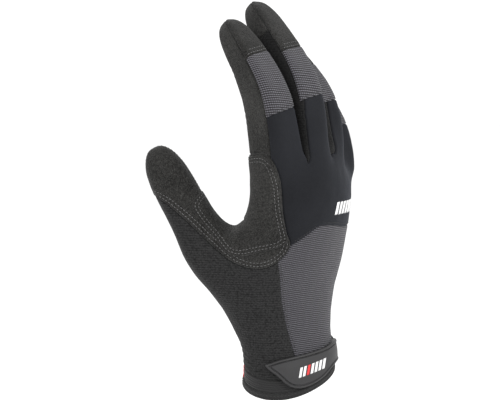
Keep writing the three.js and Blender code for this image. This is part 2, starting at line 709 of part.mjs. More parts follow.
// Makes one closed solid of some faces between two heights over the surface,
// drawn in at its edges by half the gap between neighbours.
function solid(surface, chosen, from, to) {
  const normals = vertexNormals(surface);
  const faces = surface.faces.filter(chosen).map(({ corners }) => corners.slice());
  const key = (a, b) => a + "_" + b;
  const directed = new Set(faces.flatMap((c) => c.map((a, i) => key(a, c[(i + 1) % 3]))));
  // Corners of a vertex that no shared edge joins become vertices of their own.
  const fans = new Map();
  faces.forEach((corners, f) => {
    corners.forEach((id, i) => fans.set(id, [...(fans.get(id) || []), [f, i]]));
  });
  const vertices = [];
  const ids = faces.map(() => []);
  fans.forEach((list, id) => {
    const left = new Set(list);
    while (left.size) {
      const [first] = left;
      left.delete(first);
      const fan = [first];
      for (const [f, i] of fan) {
        const touching = [faces[f][(i + 1) % 3], faces[f][(i + 2) % 3]];
        [...left].forEach((entry) => {
          const [g, j] = entry;
          const others = [faces[g][(j + 1) % 3], faces[g][(j + 2) % 3]];
          if (!others.some((v) => touching.includes(v))) return;
          left.delete(entry);
          fan.push(entry);
        });
      }
      const vertex = vertices.push({ id, inward: [] }) - 1;
      fan.forEach(([f, i]) => (ids[f][i] = vertex));
    }
  });
  const rim = [];
  faces.forEach((corners, f) => {
    const [a, b, c] = corners.map((id) => place(surface.points[id]));
    const normal = b.clone().sub(a).cross(c.clone().sub(a)).normalize();
    corners.forEach((id, i) => {
      const next = (i + 1) % 3;
      if (directed.has(key(corners[next], id))) return;
      const along = place(surface.points[corners[next]]).sub(place(surface.points[id]));
      const inward = normal.clone().cross(along).normalize();
      rim.push([ids[f][i], ids[f][next]]);
      vertices[ids[f][i]].inward.push(inward);
      vertices[ids[f][next]].inward.push(inward);
    });
  });
  const drawnIn = vertices.map(({ id, inward }) => {
    const at = place(surface.points[id]);
    if (inward.length < 2) return at;
    const [p, q] = inward;
    const scale = SEAM_GAP / 2 / Math.max(1 + p.dot(q), 0.4);
    return at.addScaledVector(p.clone().add(q), scale);
  });
  const count = vertices.length;
  const at = (height) => drawnIn.flatMap((v, i) =>
    v.clone().addScaledVector(normals[vertices[i].id], height).toArray());
  const index = ids.flatMap(([a, b, c]) => [a, b, c, count + c, count + b, count + a]);
  rim.forEach(([a, b]) => index.push(b, a, count + a, b, count + a, count + b));
  const geometry = new THREE.BufferGeometry();
  geometry.setAttribute("position", new THREE.Float32BufferAttribute([...at(to), ...at(from)], 3));
  geometry.setIndex(index);
  return geometry;
}

const glove = new THREE.Group();
function add(name, geometry, material) {
  const mesh = new THREE.Mesh(geometry, material);
  mesh.name = name;
  glove.add(mesh);
}
function cloth(color, roughness = 0.9) {
  return new THREE.MeshStandardMaterial({ color, roughness, metalness: 0 });
}
const MATERIALS = {
  suede: cloth("#3c3b39"),
  knit: cloth("#323233"),
  ribbed: cloth("#5d5c62"),
  neoprene: cloth("#303135"),
  binding: cloth("#2c2c2c"),
  rubber: cloth("#49484a", 0.6),
};
const materialOf = (name) => {
  if (/palm|thumb|fingertip|finger_front|crotch/.test(name)) return MATERIALS.suede;
  if (/side|band|fourchette/.test(name)) return MATERIALS.knit;
  if (/finger_back|back_panel/.test(name)) return MATERIALS.ribbed;
  return name === "knuckle_panel" ? MATERIALS.neoprene : MATERIALS.binding;
};

const panels = [...new Set(surface.faces.map((face) => face.panel))];
panels.forEach((name) => {
  const proud = name === "hem_binding" ? HEM_ROLL : 0;
  add(name, solid(surface, isPanel(name), -WALL - proud, proud), materialOf(name));
});

// Pieces sewn on top: a part of the surface, cut from a copy of it.
function addOnTop(name, thickness, value, material, ridge) {
  const faces = surface.faces.map((face) => ({ ...face, panel: "on" }));
  const copy = { points: surface.points.slice(), faces };
  if (ridge) cut(copy, isPanel("on"), ridge, "on", "on", false);
  cut(copy, isPanel("on"), value, name, "off", false);
  add(name, solid(copy, isPanel(name), SEAM_GAP, SEAM_GAP + thickness), material);
}

const insidePatch = insideOutline(CROTCH_PATCH.map(sidePoint));
const insideTab = insideOutline(WRIST_TAB.map(cuffPoint));
addOnTop(
  "crotch_patch",
  PATCH_THICKNESS,
  (v, n) => Math.min(insidePatch(v), FACING_SCALE * (facing(n) - PATCH_FACING)),
  MATERIALS.suede,
);
const tabEdge = (n) => FACING_SCALE * (facing(n) - TAB_FACING);
// A line along the tab, from its tip, that gives the cut points inside the narrow tip.
const tabTip = cuffPoint(WRIST_TAB[0]);
const alongTab = cuffPoint(TAB_END).sub(tabTip).normalize();
const tabRidge = (v) => alongTab.x * (v[2] - tabTip.y) - alongTab.y * (sideX(v) - tabTip.x);
const onTab = (v, n) => Math.min(insideTab(v), tabEdge(n));
addOnTop("wrist_tab", TAB_THICKNESS, onTab, MATERIALS.rubber, tabRidge);
addOnTop(
  "wrist_strap",
  STRAP_THICKNESS,
  (v, n) => {
    const height = Math.min(aboveHem(v) - STRAP_FROM, STRAP_TO - aboveHem(v));
    const end = (-STRAP_END * WRIST_WIDTH) / 2 - v[0];
    return Math.min(height, end, -tabEdge(n));
  },
  MATERIALS.knit,
);

export default glove;
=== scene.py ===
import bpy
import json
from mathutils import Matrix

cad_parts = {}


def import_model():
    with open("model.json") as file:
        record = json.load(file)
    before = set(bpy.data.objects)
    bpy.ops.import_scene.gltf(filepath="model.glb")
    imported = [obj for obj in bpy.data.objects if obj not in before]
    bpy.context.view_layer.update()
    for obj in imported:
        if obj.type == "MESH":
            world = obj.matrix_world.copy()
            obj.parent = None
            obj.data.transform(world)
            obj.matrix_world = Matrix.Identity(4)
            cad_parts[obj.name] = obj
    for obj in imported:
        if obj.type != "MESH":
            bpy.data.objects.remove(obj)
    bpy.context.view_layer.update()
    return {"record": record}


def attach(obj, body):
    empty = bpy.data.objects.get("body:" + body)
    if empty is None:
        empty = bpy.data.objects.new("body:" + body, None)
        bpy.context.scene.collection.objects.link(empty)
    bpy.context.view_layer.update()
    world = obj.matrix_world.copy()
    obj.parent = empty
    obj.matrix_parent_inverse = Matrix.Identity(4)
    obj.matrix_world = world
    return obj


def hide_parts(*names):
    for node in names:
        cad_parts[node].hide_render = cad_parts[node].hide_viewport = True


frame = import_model()

import json
import math

import bpy
import numpy as np
from mathutils import Vector
from mathutils.bvhtree import BVHTree
from mathutils.kdtree import KDTree

# Right-hand mechanic glove, in its worn form. The sizes below are in millimetres
# and are the same as in the part's source: +Z runs to the fingertips, +Y is the
# back of the hand, +X the thumb side.
CUFF_HEIGHT = 27
WRIST_WIDTH = 59
WRIST_DEPTH = 39
PALM_HEIGHT = 96
PALM_WIDTH = 90
PALM_DEPTH = 32
PALM_LEAN = 24.5
PALM_ARCH = 16
FINGER_LENGTH = 108
FINGER_DEPTH = 22
WEB_RISE = 6
WEB_DIP = 4
FINGER_GAP = 1.2
FINGER_WIDTH = PALM_WIDTH / 4 - FINGER_GAP
THUMB_LENGTH = 115
THUMB_WIDTH = 24
THUMB_DEPTH = 22
THUMB_WEB = 7
THUMB_HEEL = 11
HEM_SLOPE_THUMB = 15
HEM_SLOPE_BACK = 12
SIDE_ANGLE = 42

# Sections of the cuff and palm: rise, wide, deep, lean, heel, arch, square.
PALM_ROWS = [
    (0.0, 1.0, 1.1, 0.0, 0, 0, 2.2),
    (0.3, 0.99, 1.06, 0.0, 0, 0, 2.2),
    (0.64, 0.98, 1.03, -0.03, 0, 0, 2.2),
    (1.0, 0.99, 0.98, -0.09, 0.4, 0, 2.3),
    (1.18, 0.79, 1.16, -0.06, 1.1, 0.2, 2.4),
    (1.42, 0.89, 1.14, 0.33, 0.6, 0.4, 2.5),
    (1.68, 0.95, 1.0, 0.73, 0, 0.7, 2.6),
    (1.83, 0.98, 0.88, 0.92, 0, 0.9, 2.8),
]
PALM_COLUMNS = [0.93, 0.73, 0.48, 0.24, -0.01, -0.26, -0.5, -0.72, -0.92]

# Fingers: name, across, up, long, thick, bend of each bone, spread.
FINGERS = [
    ("index", 0.71, 0.807, 0.94, 1.0, (7, 29, 38), 2),
    ("middle", 0.235, 0.87, 1.0, 1.0, (10, 32, 38), 0.5),
    ("ring", -0.24, 0.82, 0.95, 0.97, (14, 40, 49), -1),
    ("little", -0.69, 0.765, 0.77, 0.88, (14, 41, 49), -3),
]
ARCH_TOP = 0.3
BONES = (0.47, 0.28, 0.25)
# Seams across the fingers' backs: knuckle panel's top, fingertip's bottom.
BACK_SEAMS = {
    "index": (0.42, 0.735),
    "middle": (0.405, 0.655),
    "ring": (0.44, 0.66),
    "little": (0.44, 0.66),
}
# Sections of a finger: along, wide, deep.
FINGER_ROWS = [
    (0.15, 0.97, 1.1),
    (0.3, 0.98, 1.05),
    (0.46, 0.99, 1.02),
    (0.58, 0.95, 0.93),
    (0.7, 0.91, 0.8),
    (0.82, 0.86, 0.71),
    (0.94, 0.69, 0.57),
    (1.0, 0.36, 0.3),
]
THUMB_AT = (0.53, -0.085, 0.005)
THUMB_BONES = (0.39, 0.32, 0.29)
THUMB_SPREAD = (30, 29, 27)
THUMB_ROWS = [
    (0.42, 1.35, 1.27),
    (0.54, 1.12, 1.08),
    (0.65, 0.98, 0.97),
    (0.77, 0.96, 0.97),
    (0.87, 0.92, 0.92),
    (0.95, 0.72, 0.7),
    (1.0, 0.36, 0.34),
]
FINGER_CORNER = 0.86
THUMB_CORNER = 0.77
RING = 8
COLUMNS = 2 * len(PALM_COLUMNS) + 2
THUMB_FIRST_ROW = 4
THUMB_FIRST_COLUMN = COLUMNS - 2

# Outlines in the thumb's plane: across as a share of half PALM_WIDTH, up as a
# share of PALM_HEIGHT above the wrist.
THUMB_PANEL = [
    (-1.58, 0.78), (-1.27, 0.667), (-0.92, 0.516), (-0.63, 0.414), (-0.35, 0.388),
    (-0.13, 0.428), (0.02, 0.52), (-0.02, 0.59), (-0.065, 0.71), (-0.1, 0.9),
    (-0.2, 1.01), (-0.28, 1.04), (-0.4, 1.04), (-0.62, 1.01), (-0.9, 1.15),
    (-1.1, 1.4), (-2.2, 1.4), (-2.2, 0.9),
]
CROTCH_PATCH = [
    (-1.05, 0.82), (-1.17, 0.74), (-1.11, 0.68), (-0.9, 0.56), (-0.72, 0.472),
    (-0.58, 0.46), (-0.33, 0.49), (-0.12, 0.515), (-0.02, 0.545), (-0.045, 0.62),
    (-0.085, 0.74), (-0.12, 0.9), (-0.21, 0.995), (-0.29, 1.025), (-0.4, 1.025),
    (-0.6, 0.995), (-0.8, 0.93),
]
# Where the strips between the fingers show on the thumb's side of each finger,
# down to the pointed ends of the gaps. The strips are painted shade: dark knit laid
# over the knuckle panel where the gaps between the fingers fall in shade.
GAP_SHADE_STRIPS = {
    "fourchette_1": [
        (0.144, 1.257), (0.175, 1.130), (0.206, 1.037), (0.235, 0.979), (0.256, 1.008),
        (0.241, 1.072), (0.219, 1.153), (0.194, 1.245),
    ],
    "fourchette_2": [
        (0.398, 1.407), (0.441, 1.303), (0.465, 1.199), (0.509, 1.106), (0.559, 1.025),
        (0.572, 1.049), (0.542, 1.118), (0.507, 1.211), (0.473, 1.315), (0.441, 1.419),
    ],
}
BESIDE_GAP = {"fourchette_1": "middle", "fourchette_2": "ring"}
# The tab's outline: across as a share of half WRIST_WIDTH, up of CUFF_HEIGHT.
WRIST_TAB = [
    (-0.42, 0.385), (-0.33, 0.43), (-0.198, 0.484), (0, 0.527), (0.305, 0.573),
    (0.641, 0.627), (0.824, 0.698), (1.297, 0.751), (1.373, 0.413), (1.068, 0.36),
    (0.839, 0.271), (0.564, 0.022), (0.275, -0.095), (0.107, -0.095), (-0.031, -0.031),
    (-0.198, 0.147),
]
KNIT_SEAM = [(0.07, -0.12), (-0.027, 0.04), (-0.087, 0.19), (-0.107, 0.35), (-0.13, 0.42)]
KNUCKLE_SEAM = [
    (0.02, 0.517), (0.16, 0.556), (0.26, 0.588), (0.35, 0.617), (0.41, 0.624),
    (0.57, 0.616), (0.7, 0.594),
]
HEM_HEIGHT = 3.6
BAND_HEIGHT = 11
STRAP_FROM = 4.4
STRAP_TO = 14.5
STRAP_END = 0.28
STRAP_UNDER_TAB = 0.1
SEAM_FACING = -0.15
TAB_FACING = -0.3
PATCH_FACING = -0.4
BACK_EDGE = 0.58
OUTER_EDGE = 0.3
TIP_EDGE = 0.5
SEAM_SLANT = 2.5
FOURCHETTE_END = 0.8
FACING_SCALE = 10
# The power by which the back's share fades towards the palm's two sides.
BACK_FADE = 6
# Where a finger's outer side starts and where it is full.
OUTER_SIDE = (0.05, 0.5)

WALL = 1.6
LEVEL = 4
LINING_GAP = 0.1
SMALLEST_ISLAND = 30
# The share of an edge within which a cut moves the edge's end instead of adding a point.
SNAP = 0.3
MM = 0.001
TINY = 1e-12
SHORTEST_CHORD = 1e-4
LINE_STEPS = 101
TANGENT_REACH = 0.004

# Columns of a surface point, after its place.
BACK, SIDE, ALONG = 3, 4, 5
NORMAL = slice(6, 9)


def sine(angle):
    return math.sin(math.radians(angle))


def cosine(angle):
    return math.cos(math.radians(angle))


side_facing = np.array([cosine(SIDE_ANGLE), sine(SIDE_ANGLE), 0.0])
side_right = np.array([-side_facing[1], side_facing[0], 0.0])
hem_slope_x = math.tan(math.radians(HEM_SLOPE_THUMB))
hem_slope_y = math.tan(math.radians(HEM_SLOPE_BACK))


def unit(v):
    return v / np.maximum(np.linalg.norm(v, axis=-1, keepdims=True), TINY)


def smooth_step(x, low, high):
    t = np.clip((x - low) / (high - low), 0, 1)
    return t * t * (3 - 2 * t)


# Curves through points, with the chord's square root as the step between them.


def span(p0, p1, p2, p3, t):
    chords = ((p0, p1), (p1, p2), (p2, p3))
    d0, d1, d2 = (max(np.linalg.norm(b - a) ** 0.5, SHORTEST_CHORD) for a, b in chords)
    m1 = ((p1 - p0) / d0 - (p2 - p0) / (d0 + d1) + (p2 - p1) / d1) * d1
    m2 = ((p2 - p1) / d1 - (p3 - p1) / (d1 + d2) + (p3 - p2) / d2) * d1
    t = np.asarray(t, float)[:, None]
    square = 3 * (p2 - p1) - 2 * m1 - m2
    cube = 2 * (p1 - p2) + m1 + m2
    return p1 + m1 * t + square * t**2 + cube * t**3


def length_of(line):
    return np.linalg.norm(np.diff(line, axis=0), axis=1).sum()


def lengths_along(line):
    return np.concatenate([[0], np.cumsum(np.linalg.norm(np.diff(line, axis=0), axis=1))])


def read_line(line, lengths, at):
    return np.stack([np.interp(at, lengths, column) for column in line.T], axis=-1)


def resample(line, step):
    lengths = lengths_along(line)
    count = max(int(lengths[-1] / step), 1)
    return read_line(line, lengths, np.linspace(0, lengths[-1], count + 1))


class OpenLine:
    """A smooth line through points, read by its share of length."""

    def __init__(self, points):
        ends = [2 * points[0] - points[1], *points, 2 * points[-1] - points[-2]]
        steps = np.linspace(0, 1, LINE_STEPS)
        last = len(points) - 2
        pieces = [span(*ends[i : i + 4], steps[: None if i == last else -1]) for i in range(last + 1)]
        self.points = np.concatenate(pieces)
        self.lengths = lengths_along(self.points)

    def at(self, share):
        return read_line(self.points, self.lengths, share * self.lengths[-1])

    def tangent(self, share):
        return unit(self.at(min(share + TANGENT_REACH, 1)) - self.at(max(share - TANGENT_REACH, 0)))


def closed_line(points, steps=6):
    points = [np.asarray(p, float) for p in points]
    n = len(points)
    t = np.arange(steps) / steps
    return np.concatenate([span(*(points[(i + k) % n] for k in (-1, 0, 1, 2)), t) for i in range(n)])


def bent_line(start, steps):
    joints = [np.array(start, float)]
    for step in steps:
        joints.append(joints[-1] + step)
    return OpenLine(joints)


def arch_drop(across):
    return PALM_ARCH * (across - ARCH_TOP) ** 2


def finger_line(finger):
    _, across, up, long, _, bend, spread = finger
    start = (across * PALM_WIDTH / 2, PALM_LEAN - arch_drop(across), CUFF_HEIGHT + up * PALM_HEIGHT)
    steps = []
    for bone, angle in zip(BONES, bend):
        step = np.array([sine(spread), -sine(angle), cosine(angle)])
        steps.append(unit(step) * bone * long * FINGER_LENGTH)
    return bent_line(start, steps)


def thumb_line():
    across, lean, up = THUMB_AT
    start = (across * PALM_WIDTH / 2, lean * PALM_DEPTH, CUFF_HEIGHT + up * PALM_HEIGHT)
    steps = []
    for bone, spread in zip(THUMB_BONES, THUMB_SPREAD):
        step = np.array([0, 0, cosine(spread)]) - side_right * sine(spread)
        steps.append(unit(step) * bone * THUMB_LENGTH)
    return bent_line(start, steps)


# The control cage, made as in the part's source.
cage_points = []
cage_faces = []
cage_parts = []
PARTS = ["palm", "thumb", "index", "middle", "ring", "little"]


def add_point(place, back, side, along):
    cage_points.append(np.array([*place, back, side, along], float))
    return len(cage_points) - 1


def add_face(part, *corners):
    cage_faces.append(corners)
    cage_parts.append(PARTS.index(part))


def palm_row(row):
    rise, wide, deep, lean_share, heel, arch, square = row
    half_width = wide * (PALM_WIDTH if rise > 1 else WRIST_WIDTH) / 2
    half_depth = deep * (PALM_DEPTH if rise > 1 else WRIST_DEPTH) / 2
    height = min(rise, 1) * CUFF_HEIGHT + max(rise - 1, 0) * PALM_HEIGHT
    slope = max(1 - rise, 0)

    def put(across, side):
        x = across * half_width
        y = side * half_depth * (1 - abs(across) ** square) ** (1 / square)
        drop = slope * (x * hem_slope_x + y * hem_slope_y)
        lean = lean_share * PALM_LEAN - arch * arch_drop(across)
        place = np.array([x, y, 0.0])
        by_thumb = max(-(unit(place) @ side_right), 0) ** 2
        place = place - side_right * heel * THUMB_HEEL * by_thumb + np.array([0, lean, height - drop])
        return add_point(place, side * (1 - abs(across) ** BACK_FADE), across, 0)

    back = [put(across, 1) for across in PALM_COLUMNS]
    palm = [put(across, -1) for across in PALM_COLUMNS][::-1]
    return [put(1, 0), *back, put(-1, 0), *palm]


def ring_at(line, row, across, width, depth, corner):
    """Points round a line, placed so that smoothing brings them to the size asked for."""
    along, wide, deep = row
    centre, tangent = line.at(along), line.tangent(along)
    n = unit(np.cross(tangent, across))
    u = np.cross(n, tangent)
    diagonal = (corner - 0.25) / (7 / 12)
    straight = 1.5 - diagonal / 2
    ring = []
    for k in range(RING):
        angle = k * 2 * math.pi / RING
        size = diagonal * math.sqrt(2) if k % 2 else straight
        sideways = u * math.cos(angle) * size * wide * width / 2
        outwards = n * math.sin(angle) * size * deep * depth / 2
        ring.append([centre + sideways + outwards, math.sin(angle), math.cos(angle), along])
    return ring


def add_tube(part, root, rings):
    below = root
    for ring in rings:
        ids = [add_point(*entry) for entry in ring]
        for k, point in enumerate(ids):
            after = (k + 1) % RING
            add_face(part, below[k], below[after], ids[after], point)
        below = ids
    cage_points.append(np.mean([cage_points[i] for i in below], axis=0))
    centre = len(cage_points) - 1
    for k in range(1, RING, 2):
        add_face(part, below[k - 1], below[k], below[(k + 1) % RING], centre)


def add_fingers():
    top = [None] * COLUMNS
    before = None
    tubes = []
    last_finger = len(FINGERS) - 1
    thumbwards = np.array([1.0, 0, 0])
    for f, finger in enumerate(FINGERS):
        line = finger_line(finger)
        size = FINGER_WIDTH * finger[4], FINGER_DEPTH * finger[4]
        rings = [ring_at(line, row, thumbwards, *size, FINGER_CORNER) for row in FINGER_ROWS]
        shared = {0: before[4], 1: before[3], 7: before[5]} if before else {}
        root = []
        for k, (place, back, side, along) in enumerate(rings[0]):
            inner = (f > 0) if k in (0, 7) else (k in (4, 5) and f < last_finger)
            if inner:
                place = place + np.array([0, 0, WEB_RISE])
            if (k == 1 and f > 0) or (k == 3 and f < last_finger):
                place = place - np.array([0, 0, WEB_DIP])
            if k in shared:
                twin = cage_points[shared[k]]
                cage_points[shared[k]] = (twin + np.array([*place, back, side, along])) / 2
                root.append(shared[k])
            else:
                root.append(add_point(place, back, side, along))
        first = 2 * f + 1
        last = COLUMNS - first
        top[first : first + 3] = root[1:4]
        top[last - 2 : last + 1] = root[5:8]
        if f == 0:
            top[0] = root[0]
        if f == last_finger:
            top[first + 3] = root[4]
        before = root
        tubes.append((finger[0], root, rings[1:]))
    for name, root, rings in tubes:
        add_tube(name, root, rings)
    return top


def add_palm(rows):
    for r, row in enumerate(rows[:-1]):
        for c, point in enumerate(row):
            after = (c + 1) % COLUMNS
            if r in (THUMB_FIRST_ROW, THUMB_FIRST_ROW + 1) and c >= THUMB_FIRST_COLUMN:
                continue
            add_face("palm", point, row[after], rows[r + 1][after], rows[r + 1][c])


def add_thumb(rows):
    line = thumb_line()
    size = THUMB_DEPTH, THUMB_WIDTH
    rings = [ring_at(line, row, side_facing, *size, THUMB_CORNER) for row in THUMB_ROWS]
    for entry in rings[0]:
        entry[0] = entry[0] + np.array([0, 0, THUMB_WEB * max(entry[1], 0)])
    low, mid, high = rows[THUMB_FIRST_ROW : THUMB_FIRST_ROW + 3]
    left, middle, right = THUMB_FIRST_COLUMN, THUMB_FIRST_COLUMN + 1, 0
    add_tube(
        "thumb",
        [mid[right], high[right], high[middle], high[left], mid[left], low[left], low[middle], low[right]],
        rings,
    )


rows = [palm_row(row) for row in PALM_ROWS]
rows.append(add_fingers())
add_palm(rows)
add_thumb(rows)


# Catmull-Clark subdivision of four-sided faces.


def edge_keys(faces, n):
    a, b = faces, np.roll(faces, -1, axis=1)
    return np.minimum(a, b).astype(np.int64) * n + np.maximum(a, b)


def sums(ids, values, count):
    """For each id, the sum of the values that belong to it."""
    total = np.zeros((count, values.shape[1]))
    np.add.at(total, ids, values)
    return total


def met(ids, count):
    return np.bincount(ids, minlength=count)[:, None]


def subdivide(points, faces, parts):
    n = len(points)
    keys = edge_keys(faces, n).ravel()
    unique, edge_of, count = np.unique(keys, return_inverse=True, return_counts=True)
    a, b = unique // n, unique % n
    middle = (points[a] + points[b]) / 2
    face_points = points[faces].mean(axis=1)
    at_corners = np.repeat(face_points, 4, axis=0)
    rim = count != 2
    smooth_middle = (points[a] + points[b] + sums(edge_of, at_corners, len(unique))) / 4
    edge_points = np.where(rim[:, None], middle, smooth_middle)

    corners, ends = faces.ravel(), np.concatenate([a, b])
    around = met(corners, n)
    m = np.maximum(around, 1)
    by_faces = sums(corners, at_corners, n) / m
    by_edges = 2 * sums(ends, np.concatenate([middle, middle]), n) / np.maximum(met(ends, n), 1)
    inside = (by_faces + by_edges + (m - 3) * points) / m
    rim_ends = np.concatenate([a[rim], b[rim]])
    rim_met = met(rim_ends, n)
    rim_sum = sums(rim_ends, np.concatenate([middle[rim], middle[rim]]), n)
    border = (points + rim_sum / np.maximum(rim_met, 1)) / 2
    vertices = np.where(around == 0, points, np.where(rim_met > 0, border, inside))

    face_ids = np.repeat(n + np.arange(len(faces))[:, None], 4, axis=1)
    edge_ids = (n + len(faces) + edge_of).reshape(-1, 4)
    made = np.stack([faces, edge_ids, face_ids, np.roll(edge_ids, 1, axis=1)], axis=2)
    return np.concatenate([vertices, face_points, edge_points]), made.reshape(-1, 4), np.repeat(parts, 4)


class Surface:
    """Triangles with a part (where they come from) and a panel (what they belong to)."""

    def __init__(self, points, faces, part=None, panel=None):
        self.points, self.faces = points, faces
        self.part = np.zeros(len(faces), int) if part is None else part
        self.panel = np.zeros(len(faces), int) if panel is None else panel

    def normals(self):
        a, b, c = self.points[self.faces.T, :3]
        face_normals = np.tile(np.cross(b - a, c - a), (3, 1))
        return unit(sums(self.faces.T.ravel(), face_normals, len(self.points)))


def cut(surface, chosen, value, above, below, fixed=None):
    """Cuts the chosen triangles along the line where a value of their points is zero."""
    points = surface.points
    v = value(points, surface.normals()) if callable(value) else value.copy()
    t = surface.faces[chosen]
    n = len(points)
    keys = np.unique(edge_keys(t, n).ravel())
    a, b = keys // n, keys % n
    crossing = v[a] * v[b] < 0
    a, b = a[crossing], b[crossing]
    share = v[a] / (v[a] - v[b])
    near_a, near_b = share < SNAP, share > 1 - SNAP
    if fixed is not None:
        near_a, near_b = near_a & ~fixed[a], near_b & ~fixed[b]

    # Points close to the line move onto it, the nearest crossing last.
    ids = np.concatenate([a[near_a], b[near_b]])
    others = np.concatenate([b[near_a], a[near_b]])
    reach = np.concatenate([share[near_a], 1 - share[near_b]])
    order = np.argsort(-reach)
    ids, others, reach = ids[order], others[order], reach[order]
    moved = points.copy()
    moved[ids] = points[ids] + (points[others] - points[ids]) * reach[:, None]
    v[ids] = 0

    # Each edge that still crosses the line gets a new point there.
    still = v[a] * v[b] < 0
    a, b = a[still], b[still]
    share = (v[a] / (v[a] - v[b]))[:, None]
    cut_keys = a * n + b
    surface.points = np.concatenate([moved, moved[a] + (moved[b] - moved[a]) * share])
    values = np.concatenate([v, np.zeros(len(a))])

    # A triangle with points on both sides is split in two or three.
    signs = np.sign(v[t])
    mixed = (signs.max(axis=1) > 0) & (signs.min(axis=1) < 0)
    panel = np.where(v[t].sum(axis=1) > 0, above, below)
    whole = t[~mixed]
    rest = t[mixed]
    rest_part = surface.part[chosen][mixed]
    s = signs[mixed]
    one_zero = (s == 0).any(axis=1)

    def split_id(x, y):
        key = np.minimum(x, y) * n + np.maximum(x, y)
        return n + np.searchsorted(cut_keys, key)

    def turn(rows, first):
        return np.take_along_axis(rows, (first[:, None] + np.arange(3)) % 3, axis=1)

    made, made_part = [], []

    def add(source, *triangles):
        made.extend(np.stack(triangle, axis=1) for triangle in triangles)
        made_part.extend([source] * len(triangles))

    first, second, third = turn(rest[one_zero], np.argmin(np.abs(s[one_zero]), axis=1)).T
    middle = split_id(second, third)
    add(rest_part[one_zero], (first, second, middle), (first, middle, third))
    others = s[~one_zero]
    lone = np.argmax(others == -np.sign(others.sum(axis=1))[:, None], axis=1)
    first, second, third = turn(rest[~one_zero], lone).T
    low, high = split_id(first, second), split_id(first, third)
    add(rest_part[~one_zero], (first, low, high), (low, second, third), (low, third, high))
    new, new_part = np.concatenate(made), np.concatenate(made_part)
    new_panel = np.where(values[new].sum(axis=1) > 0, above, below)
    surface.faces = np.concatenate([surface.faces[~chosen], whole, new])
    surface.part = np.concatenate([surface.part[~chosen], surface.part[chosen][~mixed], new_part])
    surface.panel = np.concatenate([surface.panel[~chosen], panel[~mixed], new_panel])


PANELS = [
    "none", "hem_binding", "wrist_band", "outer", "palm_panel", "thumb_panel", "side_panel",
    "knuckle_panel", "back_panel", "rest", "gap", "back",
    *["fourchette_%d" % i for i in (1, 2, 3)],
    *["finger_back_" + f[0] for f in FINGERS],
    *["fingertip_" + f[0] for f in FINGERS],
    "on", "off",
]
ID = {name: i for i, name in enumerate(PANELS)}


def side_x(p):
    return p[:, :2] @ side_right[:2]


def on_palm(across, up):
    return across * PALM_WIDTH / 2, CUFF_HEIGHT + up * PALM_HEIGHT, 0


def on_cuff(across, up):
    return across * WRIST_WIDTH / 2, CUFF_HEIGHT * up, 0


def inside_line(line, q):
    """The distance of places from a closed line, less than zero outside it."""
    nearest = np.full(len(q), np.inf)
    inside = np.zeros(len(q), bool)
    for a, b in zip(np.roll(line, 1, axis=0), line):
        d = b - a
        t = np.clip(((q - a) @ d) / max(d @ d, TINY), 0, 1)
        nearest = np.minimum(nearest, np.linalg.norm(a + t[:, None] * d - q, axis=1))
        crosses = (a[1] > q[:, 1]) != (b[1] > q[:, 1])
        at = a[0] + (q[:, 1] - a[1]) * d[0] / (d[1] if abs(d[1]) > TINY else TINY)
        inside ^= crosses & (q[:, 0] < at)
    return np.where(inside, nearest, -nearest)


def inside_outline(table, place):
    line = closed_line([place(across, up) for across, up in table])[:, :2]
    return lambda p, n=None: inside_line(line, np.stack([side_x(p), p[:, 2]], axis=1))


def seam_line(table):
    return np.array([on_palm(across, up)[:2] for across, up in table])


def above_hem(p):
    return p[:, 2] + p[:, 0] * hem_slope_x + p[:, 1] * hem_slope_y


def facing(n):
    return n @ side_facing


def outward(p, n):
    return FACING_SCALE * np.where(p[:, 0] > 0, facing(n) - SEAM_FACING, p[:, BACK] + OUTER_EDGE)


def edge_of(finger, p, inner):
    outside = {"index": 1, "little": -1}.get(finger, 0)
    outer = OUTER_EDGE + (TIP_EDGE - OUTER_EDGE) * p[:, ALONG]
    share = smooth_step(p[:, SIDE] * outside, *OUTER_SIDE) if outside else 0
    return inner + (outer - inner) * share


points = np.array(cage_points)
faces = np.array(cage_faces)
parts = np.array(cage_parts)
for level in range(LEVEL):
    if level == LEVEL - 1:
        coarse_points, coarse_faces = points, faces
    points, faces, parts = subdivide(points, faces, parts)
even = (faces[:, 0] + faces[:, 2])[:, None] % 2 == 0
first = np.where(even, faces[:, [0, 1, 2]], faces[:, [0, 1, 3]])
second = np.where(even, faces[:, [0, 2, 3]], faces[:, [1, 2, 3]])
surface = Surface(points, np.concatenate([first, second]), np.concatenate([parts, parts]))


def in_part(*names):
    return np.isin(surface.part, [PARTS.index(name) for name in names])


def in_panel(name):
    return surface.panel == ID[name]


def divide(chosen, value, above, below):
    cut(surface, chosen, value, ID[above], ID[below])


def free(*names):
    return in_part(*names) & in_panel("none")


divide(free("palm"), lambda p, n: HEM_HEIGHT - above_hem(p), "hem_binding", "none")
divide(free("palm"), lambda p, n: BAND_HEIGHT - above_hem(p), "wrist_band", "none")
divide(free("palm", "thumb"), outward, "outer", "palm_panel")
inside_thumb_panel = inside_outline(THUMB_PANEL, on_palm)
divide(in_panel("outer"), inside_thumb_panel, "thumb_panel", "outer")
knit_x, knit_z = seam_line(KNIT_SEAM).T
beside_knit = lambda p, n: np.interp(p[:, 2], knit_z, knit_x) - side_x(p)
divide(in_panel("outer"), beside_knit, "side_panel", "outer")
seam_x, seam_z = seam_line(KNUCKLE_SEAM).T
above_seam = lambda p, n: p[:, 2] - np.interp(side_x(p), seam_x, seam_z)
divide(in_panel("outer"), above_seam, "knuckle_panel", "back_panel")


